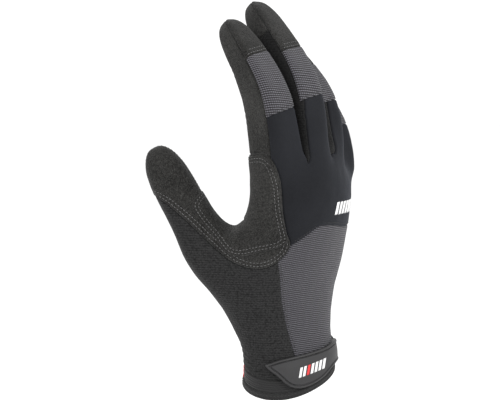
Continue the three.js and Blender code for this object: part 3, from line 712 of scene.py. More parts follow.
def divide_finger(f, name, long):
    """The back of a finger in three, and the gaps beside it, apart from its palm side."""
    knuckle_share, cap = BACK_SEAMS[name]

    def back_edge(p, n):
        inner = BACK_EDGE + (TIP_EDGE - BACK_EDGE) * smooth_step(p[:, ALONG], FOURCHETTE_END, 1)
        return FACING_SCALE * (p[:, BACK] - edge_of(name, p, inner))

    def front_edge(p, n):
        return FACING_SCALE * (p[:, BACK] - edge_of(name, p, -BACK_EDGE))

    def past(share):
        return lambda p, n: (p[:, ALONG] - share) * FINGER_LENGTH * long + SEAM_SLANT * p[:, SIDE]

    divide(free(name), back_edge, "back", "rest")
    divide(in_panel("rest"), front_edge, "gap", "palm_panel")
    divide(in_panel("gap"), past(FOURCHETTE_END), "palm_panel", "gap")
    gap = in_panel("gap")
    to_thumb = surface.points[surface.faces[gap], SIDE].sum(axis=1) > 0
    surface.panel[gap] = ID["fourchette_1"] - 1 + np.where(to_thumb, f, f + 1)
    divide(in_panel("back"), past(cap), "fingertip_" + name, "back")
    divide(in_panel("back"), past(knuckle_share), "finger_back_" + name, "knuckle_panel")


for f, finger in enumerate(FINGERS):
    divide_finger(f, finger[0], finger[3])


def beside_shade_strip(outline):
    """On the thumb's side of an outline's last half, which runs up from its foot."""
    line = seam_line(outline)
    edge = line[line[:, 1].argmin() :]
    x, z = edge[edge[:, 1].argsort()].T
    return lambda p, n: np.where(p[:, 2] > z[0], np.interp(p[:, 2], z, x) - side_x(p), -1.0)


on_thumb_panel = lambda p, n: np.minimum(inside_thumb_panel(p), outward(p, n))
for panel in ("palm_panel", "knuckle_panel"):
    divide(in_part("index") & in_panel(panel), on_thumb_panel, "thumb_panel", panel)
# Painted shade: each strip is cut as dark knit out of the knuckle panel, and out of the finger beside the
# gap, where the gap falls in shade.
for panel, outline in GAP_SHADE_STRIPS.items():
    inside_shade_strip = inside_outline(outline, on_palm)
    on_shade_strip = lambda p, n: np.minimum(inside_shade_strip(p), FACING_SCALE * facing(n))
    divide(in_panel("knuckle_panel"), on_shade_strip, panel, "knuckle_panel")
    far = in_part(BESIDE_GAP[panel]) & in_panel("knuckle_panel")
    divide(far, beside_shade_strip(outline), panel, "knuckle_panel")


def islands(faces, n):
    """The number of the connected piece that each triangle is in."""
    label = np.arange(n)
    while True:
        low = label[faces].min(axis=1)
        new = label.copy()
        for i in range(3):
            np.minimum.at(new, faces[:, i], low)
        new = new[new]
        if (new == label).all():
            return label[faces[:, 0]]
        label = new


def join_islands(surface):
    """Gives each island below an area to the panel that it borders most."""
    n = len(surface.points)
    a, b, c = surface.points[surface.faces.T, :3]
    area = np.linalg.norm(np.cross(b - a, c - a), axis=1) / 2
    keys = edge_keys(surface.faces, n).ravel()
    order = np.argsort(keys, kind="stable")
    same = np.flatnonzero(keys[order][1:] == keys[order][:-1])
    one, other = order[same] // 3, order[same + 1] // 3
    for panel in np.unique(surface.panel):
        mine = np.flatnonzero(surface.panel == panel)
        label = islands(surface.faces[mine], n)
        for island in np.unique(label):
            group = mine[label == island]
            if area[group].sum() >= SMALLEST_ISLAND:
                continue
            member = np.zeros(len(surface.faces), bool)
            member[group] = True
            near = np.concatenate([other[member[one]], one[member[other]]])
            near = surface.panel[near[~member[near]]]
            if len(near):
                surface.panel[group] = np.bincount(near).argmax()


join_islands(surface)


# From here each panel is a piece of its own: a sheet with its seams drawn in, its
# relief, and a rim that turns in to the lining.
surface.points = np.concatenate([surface.points, surface.normals()], axis=1)


# Large odd numbers that scatter the noise's cells, and the values that a cell can have.
SCATTER = np.array([73856093, 19349663, 83492791])
SEED_SCATTER, LAST_SCATTER = 9781, 1274126177
CELL_VALUES = 0xFFFF


def noise(p, seed=0):
    """Smooth random values from -1 to 1, the same on every run."""
    cell = np.floor(p).astype(np.int64)
    f = p - cell
    u = f * f * (3 - 2 * f)
    total = np.zeros(len(p))
    for corner in range(8):
        offset = np.array([corner & 1, corner >> 1 & 1, corner >> 2 & 1])
        h = np.bitwise_xor.reduce((cell + offset) * SCATTER, axis=1) ^ (seed * SEED_SCATTER)
        h = ((h ^ (h >> 13)) * LAST_SCATTER) & 0x7FFFFFFF
        h = (h ^ (h >> 15)) & CELL_VALUES
        weight = np.prod(np.where(offset == 1, u, 1 - u), axis=1)
        total += weight * (2 * h / CELL_VALUES - 1)
    return total


def take(source, chosen):
    used, inverse = np.unique(source.faces[chosen], return_inverse=True)
    return Surface(source.points[used], inverse.reshape(-1, 3), source.part[chosen])


def rim_edges(faces, n):
    """The directed edges that only one triangle uses."""
    a, b = faces.ravel(), np.roll(faces, -1, axis=1).ravel()
    _, inverse, count = np.unique(edge_keys(faces, n).ravel(), return_inverse=True, return_counts=True)
    rim = count[inverse] == 1
    return np.stack([a[rim], b[rim]], axis=1)


def tree(p):
    kd = KDTree(len(p))
    for i, point in enumerate(p):
        kd.insert(point, i)
    kd.balance()
    return kd


def distances(p, kd):
    return np.array([kd.find(point)[2] for point in p])


def bvh_of(points, faces):
    return BVHTree.FromPolygons([Vector(v) for v in points], faces)


# The steps between points along a rim, and how near a new line a distance is read again.
DENSE_STEP = 0.25
LOOP_REACH = 1.2


def dense(a, b):
    """Points along edges, a short step apart at most."""
    count = np.maximum(np.ceil(np.linalg.norm(b - a, axis=1) / DENSE_STEP).astype(int), 1)
    owner = np.repeat(np.arange(len(a)), count)
    share = (np.arange(len(owner)) - np.repeat(np.cumsum(count) - count, count)) / count[owner]
    return a[owner] + (b[owner] - a[owner]) * share[:, None]


def with_loops(piece, levels):
    """Adds lines of edges at chosen distances from the rim, and returns each point's distance."""
    p = piece.points[:, :3]
    edges = rim_edges(piece.faces, len(p))
    kd = tree(dense(p[edges[:, 0]], p[edges[:, 1]]))
    far = distances(p, kd)
    far[np.unique(edges)] = 0
    fixed = np.zeros(len(p), bool)
    fixed[np.unique(edges)] = True
    for level in levels:
        cut(piece, np.ones(len(piece.faces), bool), far - level, 0, 0, fixed)
        added = piece.points[len(fixed) :, :3]
        moved = np.abs(far - level) < LOOP_REACH
        far[moved] = distances(piece.points[: len(far)][moved][:, :3], kd)
        far[fixed] = 0
        far = np.concatenate([far, distances(added, kd)])
        fixed = np.concatenate([fixed, np.zeros(len(added), bool)])
    return far


def rounded(far, radius, depth):
    t = np.clip(1 - far / radius, 0, 1)
    return -depth * (1 - np.sqrt(1 - t * t))


def lines_of(edges):
    """Joins edges end to end into ordered lines of points."""
    after = {}
    for a, b in edges.tolist():
        after.setdefault(a, []).append(b)
    starts = set(after) - {b for _, b in edges.tolist()}
    lines = []
    for start in [*sorted(starts), *sorted(after)]:
        if not after.get(start):
            continue
        line = [start]
        while after.get(line[-1]):
            line.append(after[line[-1]].pop())
        lines.append(line)
    return lines


def smoothed(line, times):
    closed = np.linalg.norm(line[0] - line[-1]) < 1
    for _ in range(times):
        line = line.copy()
        line[1:-1] = (line[:-2] + 2 * line[1:-1] + line[2:]) / 4
        if closed:
            line[0] = line[-1] = (line[1] + line[-2]) / 2
    return line


def seam_middles(panel):
    mine = take(surface, surface.panel == panel)
    edges = rim_edges(mine.faces, len(mine.points))
    return (mine.points[edges[:, 0], :3] + mine.points[edges[:, 1], :3]) / 2


seams = {panel: seam_middles(panel) for panel in np.unique(surface.panel)}
seam_tree = tree(np.concatenate(list(seams.values())))
seam_panel = np.repeat(list(seams), [len(middles) for middles in seams.values()])

ROW_STEP = 0.7
SHORTEST_ROW = 6
FEWEST_RIM_POINTS, FEWEST_ROW_POINTS = 4, 5
RIM_SMOOTHING, ROW_SMOOTHING = 8, 4
# The share of its distance that a row keeps from every rim, so that it ends at corners.
ROW_CLEARANCE = 0.93
NEAR_SEAMS = 8


def stretches(good):
    """Where each run of true values starts and ends."""
    ends = np.flatnonzero(np.diff(np.concatenate([[0], good.astype(int), [0]])))
    return zip(ends[::2], ends[1::2])


def beside_panels(q, own, wanted):
    """The stretches of a panel's rim that border the panels wanted."""
    keep = []
    for point in q[:, :3]:
        near = [seam_panel[i] for _, i, _ in seam_tree.find_n(point, NEAR_SEAMS) if seam_panel[i] != own]
        keep.append(bool(near) and near[0] in wanted)
    keep = np.array(keep)
    if keep.all():
        return [q]
    if np.array_equal(q[0], q[-1]):
        shift = -np.flatnonzero(~keep)[0]
        q, keep = np.roll(q[:-1], shift, axis=0), np.roll(keep[:-1], shift)
    return [q[a:b] for a, b in stretches(keep)]


def seam_rows(source, offsets, own=None, beside=()):
    """Lines at distances inside a sheet's rim, or only where it borders the panels named."""
    p = source.points
    edges = rim_edges(source.faces, len(p))
    lines = [p[line] for line in lines_of(edges) if length_of(p[line, :3]) > SHORTEST_ROW]
    kd = tree(np.concatenate([resample(line[:, :3], DENSE_STEP) for line in lines]))
    bvh = bvh_of(p[:, :3], source.faces.tolist())
    runs = lines
    if beside:
        wanted = {ID[name] for name in beside}
        runs = [run for line in lines for run in beside_panels(line, ID[own], wanted)]
    rows = []
    for run in runs:
        if len(run) < FEWEST_RIM_POINTS or length_of(run[:, :3]) < SHORTEST_ROW:
            continue
        run = smoothed(resample(run, ROW_STEP), RIM_SMOOTHING)
        along = unit(np.gradient(run[:, :3], axis=0))
        inward = unit(np.cross(unit(run[:, NORMAL]), along))
        for offset in offsets:
            row = np.array([tuple(bvh.find_nearest(Vector(v))[0]) for v in run[:, :3] + inward * offset])
            clear = distances(row, kd) > offset * ROW_CLEARANCE
            long_enough = [row[a:b] for a, b in stretches(clear) if b - a > FEWEST_ROW_POINTS]
            rows += [smoothed(resample(part, ROW_STEP), ROW_SMOOTHING) for part in long_enough]
    return rows


# Where the fingers leave the palm, in shares and in height, and the palm's radius.
FINGER_START = 0.1
FINGERS_FROM = 118
PALM_RADIUS = 38
# How far the rows of the woven pattern slope across the palm.
WEAVE_SLOPE = 0.1


def hand_uv(p):
    """Millimetres round and along the hand or a finger, for woven patterns."""
    on_finger = (p[:, ALONG] > FINGER_START) & (p[:, 2] > FINGERS_FROM)
    finger_round = np.arctan2(p[:, BACK], p[:, SIDE]) * FINGER_WIDTH / 2
    palm_round = np.arccos(np.clip(p[:, SIDE], -1, 1)) * PALM_RADIUS
    u = np.where(on_finger, finger_round, palm_round)
    v = np.where(on_finger, p[:, ALONG] * FINGER_LENGTH, p[:, 2] + WEAVE_SLOPE * side_x(p))
    return np.stack([u, v], axis=1)


def cuff_uv(p):
    return np.stack([np.arctan2(p[:, 1], p[:, 0]) * WRIST_WIDTH / 2, above_hem(p)], axis=1)


# The finger joints along a finger, and the creases inside each: place, depth.
FINGER_JOINTS = (0.44, 0.72)
JOINT_CREASES = ((-5.5, 0.12), (-1.6, 0.26), (2.4, 0.24), (6.5, 0.1))
JOINT_CREASE_WIDTH = 1.4
CREASES_FROM = 125


def bump(away, width):
    return np.exp(-((away / width) ** 2))


def fabric_relief(p):
    """The soft unevenness of worn cloth, and the creases inside bent fingers."""
    q = p[:, :3]
    relief = 0.24 * noise(q / 13) + 0.1 * noise(q / 5, 1)
    on_finger = (p[:, ALONG] > FINGER_START) & (p[:, 2] > CREASES_FROM)
    inside = smooth_step(-p[:, BACK], 0.1, 0.8) * on_finger
    s = p[:, ALONG] * FINGER_LENGTH + 0.8 * noise(q / 6, 2)
    for joint in FINGER_JOINTS:
        for shift, depth in JOINT_CREASES:
            away = s - joint * FINGER_LENGTH - shift
            relief = relief - inside * depth * bump(away, JOINT_CREASE_WIDTH)
    return relief


def line_crease(p, start, end, depth, width):
    """A crease along a straight line in the thumb's plane, deepest at its middle."""
    q = np.stack([side_x(p), p[:, 2]], axis=1)
    a, b = np.array(start, float), np.array(end, float)
    d = b - a
    t = (q - a) @ d / (d @ d)
    across = np.array([-d[1], d[0]])
    away = np.abs((q - a) @ across / np.linalg.norm(d)) + 0.5 * noise(p[:, :3] / 4, 3)
    return -depth * bump(away, width) * smooth_step(t, 0, 0.3) * smooth_step(1 - t, 0, 0.3)


# Creases round the web between thumb and index finger, and in the ball of the
# thumb: start, end, depth, width in the thumb's plane.
WEB_CREASES = [
    ((-27, 89), (-12, 93), 0.85, 0.8),
    ((-26, 84.5), (-14, 85), 0.75, 0.7),
    ((-28, 80), (-19, 75.5), 0.7, 0.8),
    ((-33, 81), (-29, 72), 0.55, 0.7),
    ((-38, 84), (-37, 75), 0.4, 0.8),
]
PALM_CREASES = [
    ((-50, 75), (-36, 58), 0.3, 1.4),
    ((-30, 40), (-12, 34), 0.3, 1.6),
    ((-29, 33), (-14, 29), 0.3, 1.5),
]


# Where the binding is sewn down above the hem, and the ribs of the cuff.
HEM_GROOVE = 1.3
GATHER_PITCH = 3.1
GATHER_DEPTH, GATHER_TO, GATHER_FADE = 0.22, 30, 14
BAND_PITCH = 2.3


def ribs(p, pitch, phase=0):
    return np.sin(above_hem(p) * 2 * math.pi / pitch + phase)


def panel_relief(name, p):
    q = p[:, :3]
    if name == "wrist_tab":
        return np.zeros(len(p))
    if name == "wrist_strap":
        return 0.08 * noise(q / 6, 7)
    if name == "wrist_band":
        return 0.08 * ribs(p, BAND_PITCH) + 0.12 * noise(q / np.array([3, 3, 9]), 5)
    if name == "hem_binding":
        return 0.05 * noise(q / 2, 6) - 0.7 * bump(above_hem(p) - HEM_GROOVE, 0.35)
    relief = fabric_relief(p)
    creases = {"thumb_panel": WEB_CREASES, "crotch_patch": WEB_CREASES, "side_panel": PALM_CREASES}
    for crease in creases.get(name, []):
        relief = relief + line_crease(p, *crease)
    if name == "side_panel":
        gather = GATHER_DEPTH * smooth_step(GATHER_TO - above_hem(p), 0, GATHER_FADE)
        relief = relief + gather * ribs(p, GATHER_PITCH, 1.2 * noise(q / np.array([9, 9, 30]), 4))
    return relief


def make_object(name, points, faces, uv, material):
    mesh = bpy.data.meshes.new(name)
    mesh.from_pydata((points * MM).tolist(), [], faces)
    layer = mesh.uv_layers.new(name="UVMap")
    loops = np.zeros(len(mesh.loops), dtype=np.int32)
    mesh.loops.foreach_get("vertex_index", loops)
    layer.data.foreach_set("uv", (uv[loops] * MM).ravel().astype(np.float32))
    mesh.polygons.foreach_set("use_smooth", np.ones(len(mesh.polygons), bool))
    mesh.materials.append(material)
    mesh.validate()
    made = bpy.data.objects.new(name, mesh)
    bpy.context.scene.collection.objects.link(made)
    return made


# How deep the stitches draw the cloth in along their rows, and how far to each side.
PRESS_DEPTH = 0.22
PRESS_WIDTH = 0.7
PRESS_STEP = 0.4
# Where the relief is full, from a rim inwards.
RELIEF_FROM_RIM = 1.5


def press(p, rows):
    if not rows:
        return 0
    kd = tree(np.concatenate([resample(row, PRESS_STEP) for row in rows]))
    return -PRESS_DEPTH * bump(distances(p[:, :3], kd), PRESS_WIDTH)


def sheet(name, source, levels, offset, uv, material, rows, rim_depth):
    """A panel's outside with its rim turned in. Offset is a function of points and rim distance."""
    far = with_loops(source, levels)
    p = source.points
    normal = unit(p[:, NORMAL])
    relief = panel_relief(name, p) * smooth_step(far, 0, RELIEF_FROM_RIM)
    lift = offset(p, far) + relief + press(p, rows)
    outside = p[:, :3] + normal * lift[:, None]
    rim = rim_edges(source.faces, len(p))
    ids = np.unique(rim)
    index = np.full(len(p), -1)
    index[ids] = len(p) + np.arange(len(ids))
    inside = p[ids, :3] - normal[ids] * rim_depth
    a, b = rim.T
    turned = np.concatenate([np.stack([b, a, index[a]], axis=1), np.stack([b, index[a], index[b]], axis=1)])
    points = np.concatenate([outside, inside])
    faces = np.concatenate([source.faces, turned]).tolist()
    made = make_object(name, points, faces, np.concatenate([uv(p), uv(p[ids])]), material)
    return made, points, faces


STITCH_PITCH = 1.95
STITCH_LENGTH = 1.3
STITCH_RADIUS = 0.15
STITCH_FLATNESS = 0.8
STITCH_SIDES = 6
# A stitch from end to end: place along it, girth, height of its arch.
STITCH_SHAPE = [(-1, 0.35, -0.16), (-0.72, 0.85, 0.06), (0, 1, 0.16), (0.72, 0.85, 0.06), (1, 0.35, -0.16)]
STEPS_A_STITCH = 8


def bar_faces(rings, sides):
    """The faces of a closed bar made of rings of points: its sides and its two caps."""
    faces = []
    for low in range(0, (rings - 1) * sides, sides):
        high = low + sides
        faces += [(low + c, high + c, high + (c + 1) % sides, low + (c + 1) % sides) for c in range(sides)]
    last = (rings - 1) * sides
    return np.array(faces), np.arange(sides), np.arange(last, last + sides)[::-1]


def stitches(name, rows, mesh, material):
    """A thread along rows: one small arched bar for each stitch, seated on a surface."""
    bvh = bvh_of(*mesh)
    station, girth, arch = np.array(STITCH_SHAPE, float).T[:, :, None, None]
    angle = np.arange(STITCH_SIDES) * 2 * math.pi / STITCH_SIDES
    sideways = (np.cos(angle) * STITCH_RADIUS)[:, None]
    upwards = (np.sin(angle) * STITCH_RADIUS * STITCH_FLATNESS)[:, None]
    bar, first_cap, last_cap = bar_faces(len(STITCH_SHAPE), STITCH_SIDES)
    points, faces = [], []
    for row in rows:
        total = length_of(row)
        count = max(int(round(total / STITCH_PITCH)), 1)
        at = resample(row, total / (count * STEPS_A_STITCH))
        for k in range(count):
            i = min(k * STEPS_A_STITCH + STEPS_A_STITCH // 2, len(at) - 2)
            direction = unit(at[min(i + 2, len(at) - 1)] - at[max(i - 2, 0)])
            seat, normal, _, _ = bvh.find_nearest(Vector(at[i]))
            seat, normal = np.array(seat), np.array(normal)
            direction = unit(direction - normal * (direction @ normal))
            across = np.cross(normal, direction)
            middle = seat + direction * (station * STITCH_LENGTH / 2) + normal * arch
            ring = middle + across * sideways * girth + normal * upwards * girth
            base = len(points) * len(STITCH_SHAPE) * STITCH_SIDES
            points.append(ring.reshape(-1, 3))
            faces += [*(base + bar).tolist(), (base + first_cap).tolist(), (base + last_cap).tolist()]
    p = np.concatenate(points)
    return make_object(name, p, faces, p[:, :2], material)


WHITE = (1, 1, 1, 1)


class Look:
    """A material built from nodes by short calls. Lengths are in metres."""

    def __init__(self, name, roughness, specular, sheen=0.0, sheen_roughness=0.5, sheen_tint=WHITE):
        self.material = bpy.data.materials.new(name)
        self.material.use_nodes = True
        self.nodes = self.material.node_tree.nodes
        self.links = self.material.node_tree.links
        self.shader = self.nodes["Principled BSDF"]
        values = {
            "Roughness": roughness,
            "Sheen Weight": sheen,
            "Sheen Tint": sheen_tint,
            "Sheen Roughness": sheen_roughness,
            "Specular IOR Level": specular,
        }
        for socket, value in values.items():
            self.shader.inputs[socket].default_value = value
        self.at = self.nodes.new("ShaderNodeTexCoord").outputs["Object"]

    def put(self, value, socket):
        if isinstance(value, bpy.types.NodeSocket):
            self.links.new(value, socket)
        else:
            socket.default_value = value

    def across_and_along(self):
        split = self.nodes.new("ShaderNodeSeparateXYZ")
        self.put(self.nodes.new("ShaderNodeTexCoord").outputs["UV"], split.inputs[0])
        return split.outputs[:2]

    def place(self):
        split = self.nodes.new("ShaderNodeSeparateXYZ")
        self.put(self.at, split.inputs[0])
        return split.outputs

    def math(self, operation, a, b=0.0, c=0.0):
        node = self.nodes.new("ShaderNodeMath")
        node.operation = operation
        for value, socket in zip((a, b, c), node.inputs):
            self.put(value, socket)
        return node.outputs[0]

    def mix(self, *shares, base=0.0):
        """The sum of values, each times its share."""
        for value, share in reversed(shares):
            base = self.math("MULTIPLY_ADD", value, share, base)
        return base

    def texture(self, kind, output, size):
        node = self.nodes.new("ShaderNodeTex" + kind)
        self.put(self.at, node.inputs["Vector"])
        node.inputs["Scale"].default_value = 1 / size
        return node, node.outputs[output]

    def noise(self, size, detail=3.0, roughness=0.5):
        node, value = self.texture("Noise", "Fac", size)
        node.inputs["Detail"].default_value = detail
        node.inputs["Roughness"].default_value = roughness
        return value

    def cells(self, size):
        return self.texture("Voronoi", "Distance", size)[1]

    def wave(self, value, pitch):
        """A sine from 0 to 1 with one ridge each pitch."""
        turned = self.mix((value, 2 * math.pi / pitch))
        return self.mix((self.math("SINE", turned), 0.5), base=0.5)

    def shades(self, value, *stops, tint=(1, 1, 1)):
        """A colour by a value. Each stop is a place from 0 to 1 and the tint's brightness there."""
        node = self.nodes.new("ShaderNodeValToRGB")
        self.put(value, node.inputs[0])
        band = node.color_ramp
        while len(band.elements) < len(stops):
            band.elements.new(0.5)
        for element, (at, brightness) in zip(band.elements, stops):
            element.position = at
            element.color = (*(brightness * share for share in tint), 1)
        return node.outputs[0]

    def finish(self, colour, height, distance, strength, roughness=None):
        """Sets the colour and the bump, whose heights are a distance apart at most."""
        self.put(colour, self.shader.inputs["Base Color"])
        bump = self.nodes.new("ShaderNodeBump")
        bump.inputs["Distance"].default_value = distance
        bump.inputs["Strength"].default_value = strength
        self.put(height, bump.inputs["Height"])
        self.links.new(bump.outputs[0], self.shader.inputs["Normal"])
        if roughness is not None:
            self.put(roughness, self.shader.inputs["Roughness"])
        return self.material


def suede_look(name, dark, light):
    look = Look(name, roughness=0.95, specular=0.12, sheen=0.12, sheen_roughness=0.4)
    fibre = look.noise(0.00055, roughness=0.7)
    nap = look.noise(0.0016)
    worn = look.noise(0.018)
    tint = (1.02, 1.0, 0.95)
    middle = (dark + light) / 2.4
    tone = look.mix((fibre, 0.75), (nap, 0.15), (worn, 0.15))
    colour = look.shades(tone, (0.4, dark), (0.52, middle), (0.64, light), tint=tint)
    return look.finish(colour, look.mix((fibre, 1.0), (nap, 0.6)), 0.0005, 0.9)


def grey_knit_look(name, rib, stitch, dark, light, dotted):
    look = Look(name, roughness=0.85, specular=0.3, sheen=0.15, sheen_roughness=0.4)
    u, v = look.across_and_along()
    ridge = look.wave(look.mix((look.noise(0.006, 2), 0.0007), (u, 0.12), base=v), rib)
    height = look.math("MULTIPLY", ridge, look.mix((look.wave(u, stitch), dotted), base=1 - dotted))
    fuzz = look.noise(0.0005)
    tint = (0.98, 0.95, 1.08)
    middle = (dark + light) / 2
    tone = look.mix((fuzz, 0.35), (height, 0.75), base=-0.1)
    colour = look.shades(tone, (0.1, dark), (0.5, middle), (0.85, light), tint=tint)
    return look.finish(colour, look.mix((fuzz, 0.25), base=height), 0.0005, 0.9)


def neoprene_look():
    bluish = (0.75, 0.82, 1, 1)
    look = Look("neoprene", 0.75, 0.1, sheen=0.07, sheen_roughness=0.4, sheen_tint=bluish)
    x, _, z = look.place()
    rising = look.wave(look.math("ADD", x, z), 0.0009)
    falling = look.wave(look.math("SUBTRACT", z, x), 0.0009)
    jersey = look.math("MULTIPLY", rising, falling)
    fuzz = look.noise(0.0007)
    tint = (0.9, 0.95, 1.15)
    tone = look.mix((fuzz, 0.4), (jersey, 0.2), (look.noise(0.02, 2), 0.3))
    colour = look.shades(tone, (0.25, 0.007), (0.7, 0.016), tint=tint)
    return look.finish(colour, look.math("ADD", jersey, fuzz), 0.00012, 0.6)


def black_knit_look(name, pitch, dark, light):
    look = Look(name, roughness=0.9, specular=0.15, sheen=0.06)
    rows = look.wave(look.place()[2], pitch * 1.2)
    dots = look.mix((look.cells(pitch), -0.9), (rows, 0.35), base=0.65)
    fuzz = look.noise(0.0006)
    tone = look.mix((fuzz, 0.5), (dots, 0.6), base=-0.05)
    colour = look.shades(tone, (0.15, dark), (0.5, (dark + light) / 2), (0.85, light))
    return look.finish(colour, look.mix((fuzz, 0.3), base=dots), 0.0004, 0.8)


def elastic_look():
    look = Look("elastic", roughness=0.85, specular=0.3, sheen=0.1)
    u, v = look.across_and_along()
    height = look.math("MULTIPLY", look.wave(v, 0.0012), look.mix((look.wave(u, 0.0009), 0.3), base=0.7))
    tone = look.mix((look.noise(0.0005), 0.6), (height, 0.4))
    colour = look.shades(tone, (0.15, 0.005), (0.8, 0.022))
    return look.finish(colour, height, 0.0004, 0.8)


def binding_look():
    look = Look("binding", roughness=0.8, specular=0.3, sheen=0.1)
    u, v = look.across_and_along()
    twill = look.wave(look.math("ADD", u, v), 0.0008)
    fuzz = look.noise(0.0005)
    colour = look.shades(look.mix((fuzz, 0.45), (twill, 0.5)), (0.2, 0.004), (0.8, 0.018))
    return look.finish(colour, look.math("ADD", twill, fuzz), 0.0002, 0.8)


def rubber_look(name, value, roughness):
    look = Look(name, roughness=roughness, specular=0.4)
    grain = look.noise(0.0004)
    cloud = look.noise(0.01)
    tint = (1.0, 0.985, 1.03)
    tone = look.mix((grain, 0.4), (cloud, 0.6))
    colour = look.shades(tone, (0.3, value * 0.88), (0.7, value * 1.1), tint=tint)
    rough = look.mix((cloud, 0.15), base=roughness - 0.07)
    return look.finish(colour, grain, 0.00008, 0.6, rough)


def thread_look(name, value):
    look = Look(name, roughness=0.6, specular=0.4, sheen=0.1)
    strand = look.noise(0.0003, 2)
    colour = look.shades(strand, (0.35, value * 0.7), (0.65, value * 1.2))
    return look.finish(colour, strand, 0.0001, 0.7)


def print_look(name, colour):
    look = Look(name, roughness=0.55, specular=0.4)
    grain = look.noise(0.0005)
    shade = look.shades(grain, (0.3, 0.85), (0.7, 1), tint=colour)
    return look.finish(shade, grain, 0.00006, 0.5)


suede = suede_look("suede", 0.003, 0.042)
tip_suede = suede_look("tip_suede", 0.002, 0.036)
finger_knit = grey_knit_look("finger_knit", 0.0012, 0.0012, 0.002, 0.155, 0.65)
back_knit = grey_knit_look("back_knit", 0.00115, 0.0011, 0.014, 0.112, 0.4)
neoprene = neoprene_look()
black_knit = black_knit_look("black_knit", 0.0011, 0.005, 0.031)
# A darker copy of the black knit for the strips between the fingers: the extra darkness is painted shade in
# the gaps.
shaded_gap_knit = black_knit_look("shaded_gap_knit", 0.0011, 0.003, 0.012)
elastic = elastic_look()
binding = binding_look()
tab_rubber = rubber_look("tab_rubber", 0.018, 0.5)
light_thread = thread_look("light_thread", 0.125)
mid_thread = thread_look("mid_thread", 0.07)
dark_thread = thread_look("dark_thread", 0.015)
pale_print = print_look("pale_print", (0.75, 0.75, 0.75))
red_print = print_look("red_print", (0.6, 0.03, 0.03))


def slot_of(name):
    nodes = {entry["node"]: entry["material_slot"] for entry in frame["record"]["subparts"]}
    return nodes[name]


def dress(piece, node=None, slot=None):
    """Sets what a piece rides on and hides the nodes that it stands for. The slot is not used."""
    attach(piece, "root")
    if node:
        also = ["finger_front_" + n for n in FINGER_NAMES] if node == "palm_panel" else []
        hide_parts(node, *also)
        slot_of(node)


# Each panel's look, how far it stands off the hand, and the radius and depth of
# its edge, all in millimetres.
FINGER_NAMES = [finger[0] for finger in FINGERS]
SHEETS = {
    "palm_panel": (suede, 0.0, 1.3, 0.7, hand_uv),
    "thumb_panel": (suede, 0.45, 0.8, 0.7, hand_uv),
    "side_panel": (black_knit, 0.0, 1.3, 0.8, hand_uv),
    "back_panel": (back_knit, 0.1, 1.3, 0.7, hand_uv),
    "knuckle_panel": (neoprene, 0.2, 1.5, 0.8, hand_uv),
    "wrist_band": (elastic, -0.1, 1.2, 1.0, cuff_uv),
    "hem_binding": (binding, 0.7, 1.1, 1.3, cuff_uv),
    # The strips between the fingers take the darker knit, whose darkness is painted shade in the gaps.
    **{"fourchette_%d" % i: (shaded_gap_knit, -0.3, 1.3, 0.5, hand_uv) for i in (1, 2, 3)},
    **{"finger_back_" + n: (finger_knit, 0.35, 1.0, 0.8, hand_uv) for n in FINGER_NAMES},
    **{"fingertip_" + n: (tip_suede, 0.35, 0.9, 0.7, hand_uv) for n in FINGER_NAMES},
}
# Stitch rows: the panels beside the seam, distances inside it, thread.
STITCH_ROWS = {
    "thumb_panel": (["side_panel", "back_panel", "knuckle_panel", "palm_panel"], (1.6, 3.5), light_thread),
    **{"fingertip_" + n: (["finger_back_" + n], (1.2, 3.4), light_thread) for n in FINGER_NAMES},
    **{"finger_back_" + n: (["knuckle_panel"], (1.4,), dark_thread) for n in FINGER_NAMES},
    "back_panel": (["side_panel"], (1.2,), dark_thread),
    "knuckle_panel": (["back_panel"], (1.5,), dark_thread),
    "palm_panel": (["side_panel", "back_panel"], (1.6,), mid_thread),
    "hem_binding": (["side_panel", "wrist_band", "palm_panel", "none"], (1.2,), dark_thread),
}
# Extra lines of points along a rim, as shares of its radius.
EDGE_LOOPS = (0.25, 0.6, 1.1)


def sew(name, source, levels, offset, uv, material, rows=(), thread=None, rim_depth=WALL):
    """A panel with its stitches. Returns the panel's points and faces."""
    piece, points, faces = sheet(name, source, levels, offset, uv, material, rows, rim_depth)
    dress(piece, name)
    if thread:
        dress(stitches("thread_" + name, rows, (points, faces), thread), slot=slot_of(name))
    return points, faces


def sew_panel(name, material, raised, radius, depth, uv):
    source = take(surface, surface.panel == ID[name])
    rows, thread = [], None
    if name in STITCH_ROWS:
        beside, offsets, thread = STITCH_ROWS[name]
        rows = seam_rows(source, offsets, name, beside)
    levels = [share * radius for share in EDGE_LOOPS]
    offset = lambda p, far: raised + rounded(far, radius, depth)
    return sew(name, source, levels, offset, uv, material, rows, thread)


sheet_meshes = {name: sew_panel(name, *values) for name, values in SHEETS.items()}

# The lining, seen only inside the cuff.
lining_faces = np.concatenate([coarse_faces[:, [0, 1, 2]], coarse_faces[:, [0, 2, 3]]])
lining_normals = Surface(coarse_points, lining_faces).normals()
lining_points = coarse_points[:, :3] - lining_normals * (WALL + LINING_GAP)
lining = make_object("lining", lining_points, coarse_faces.tolist(), hand_uv(coarse_points), black_knit)
dress(lining, slot="black_knit")


# Pieces that lie on top of the panels, cut from a finer copy of the surface.


def split_in_four(near):
    n = len(near.points)
    unique, inverse = np.unique(edge_keys(near.faces, n).ravel(), return_inverse=True)
    middle = (near.points[unique // n] + near.points[unique % n]) / 2
    near.points = np.concatenate([near.points, middle])
    a, b, c = near.faces.T
    ab, bc, ca = (n + inverse.reshape(-1, 3)).T
    four = ((a, ab, ca), (ab, b, bc), (ca, bc, c), (ab, bc, ca))
    near.faces = np.concatenate([np.stack(three, axis=1) for three in four])


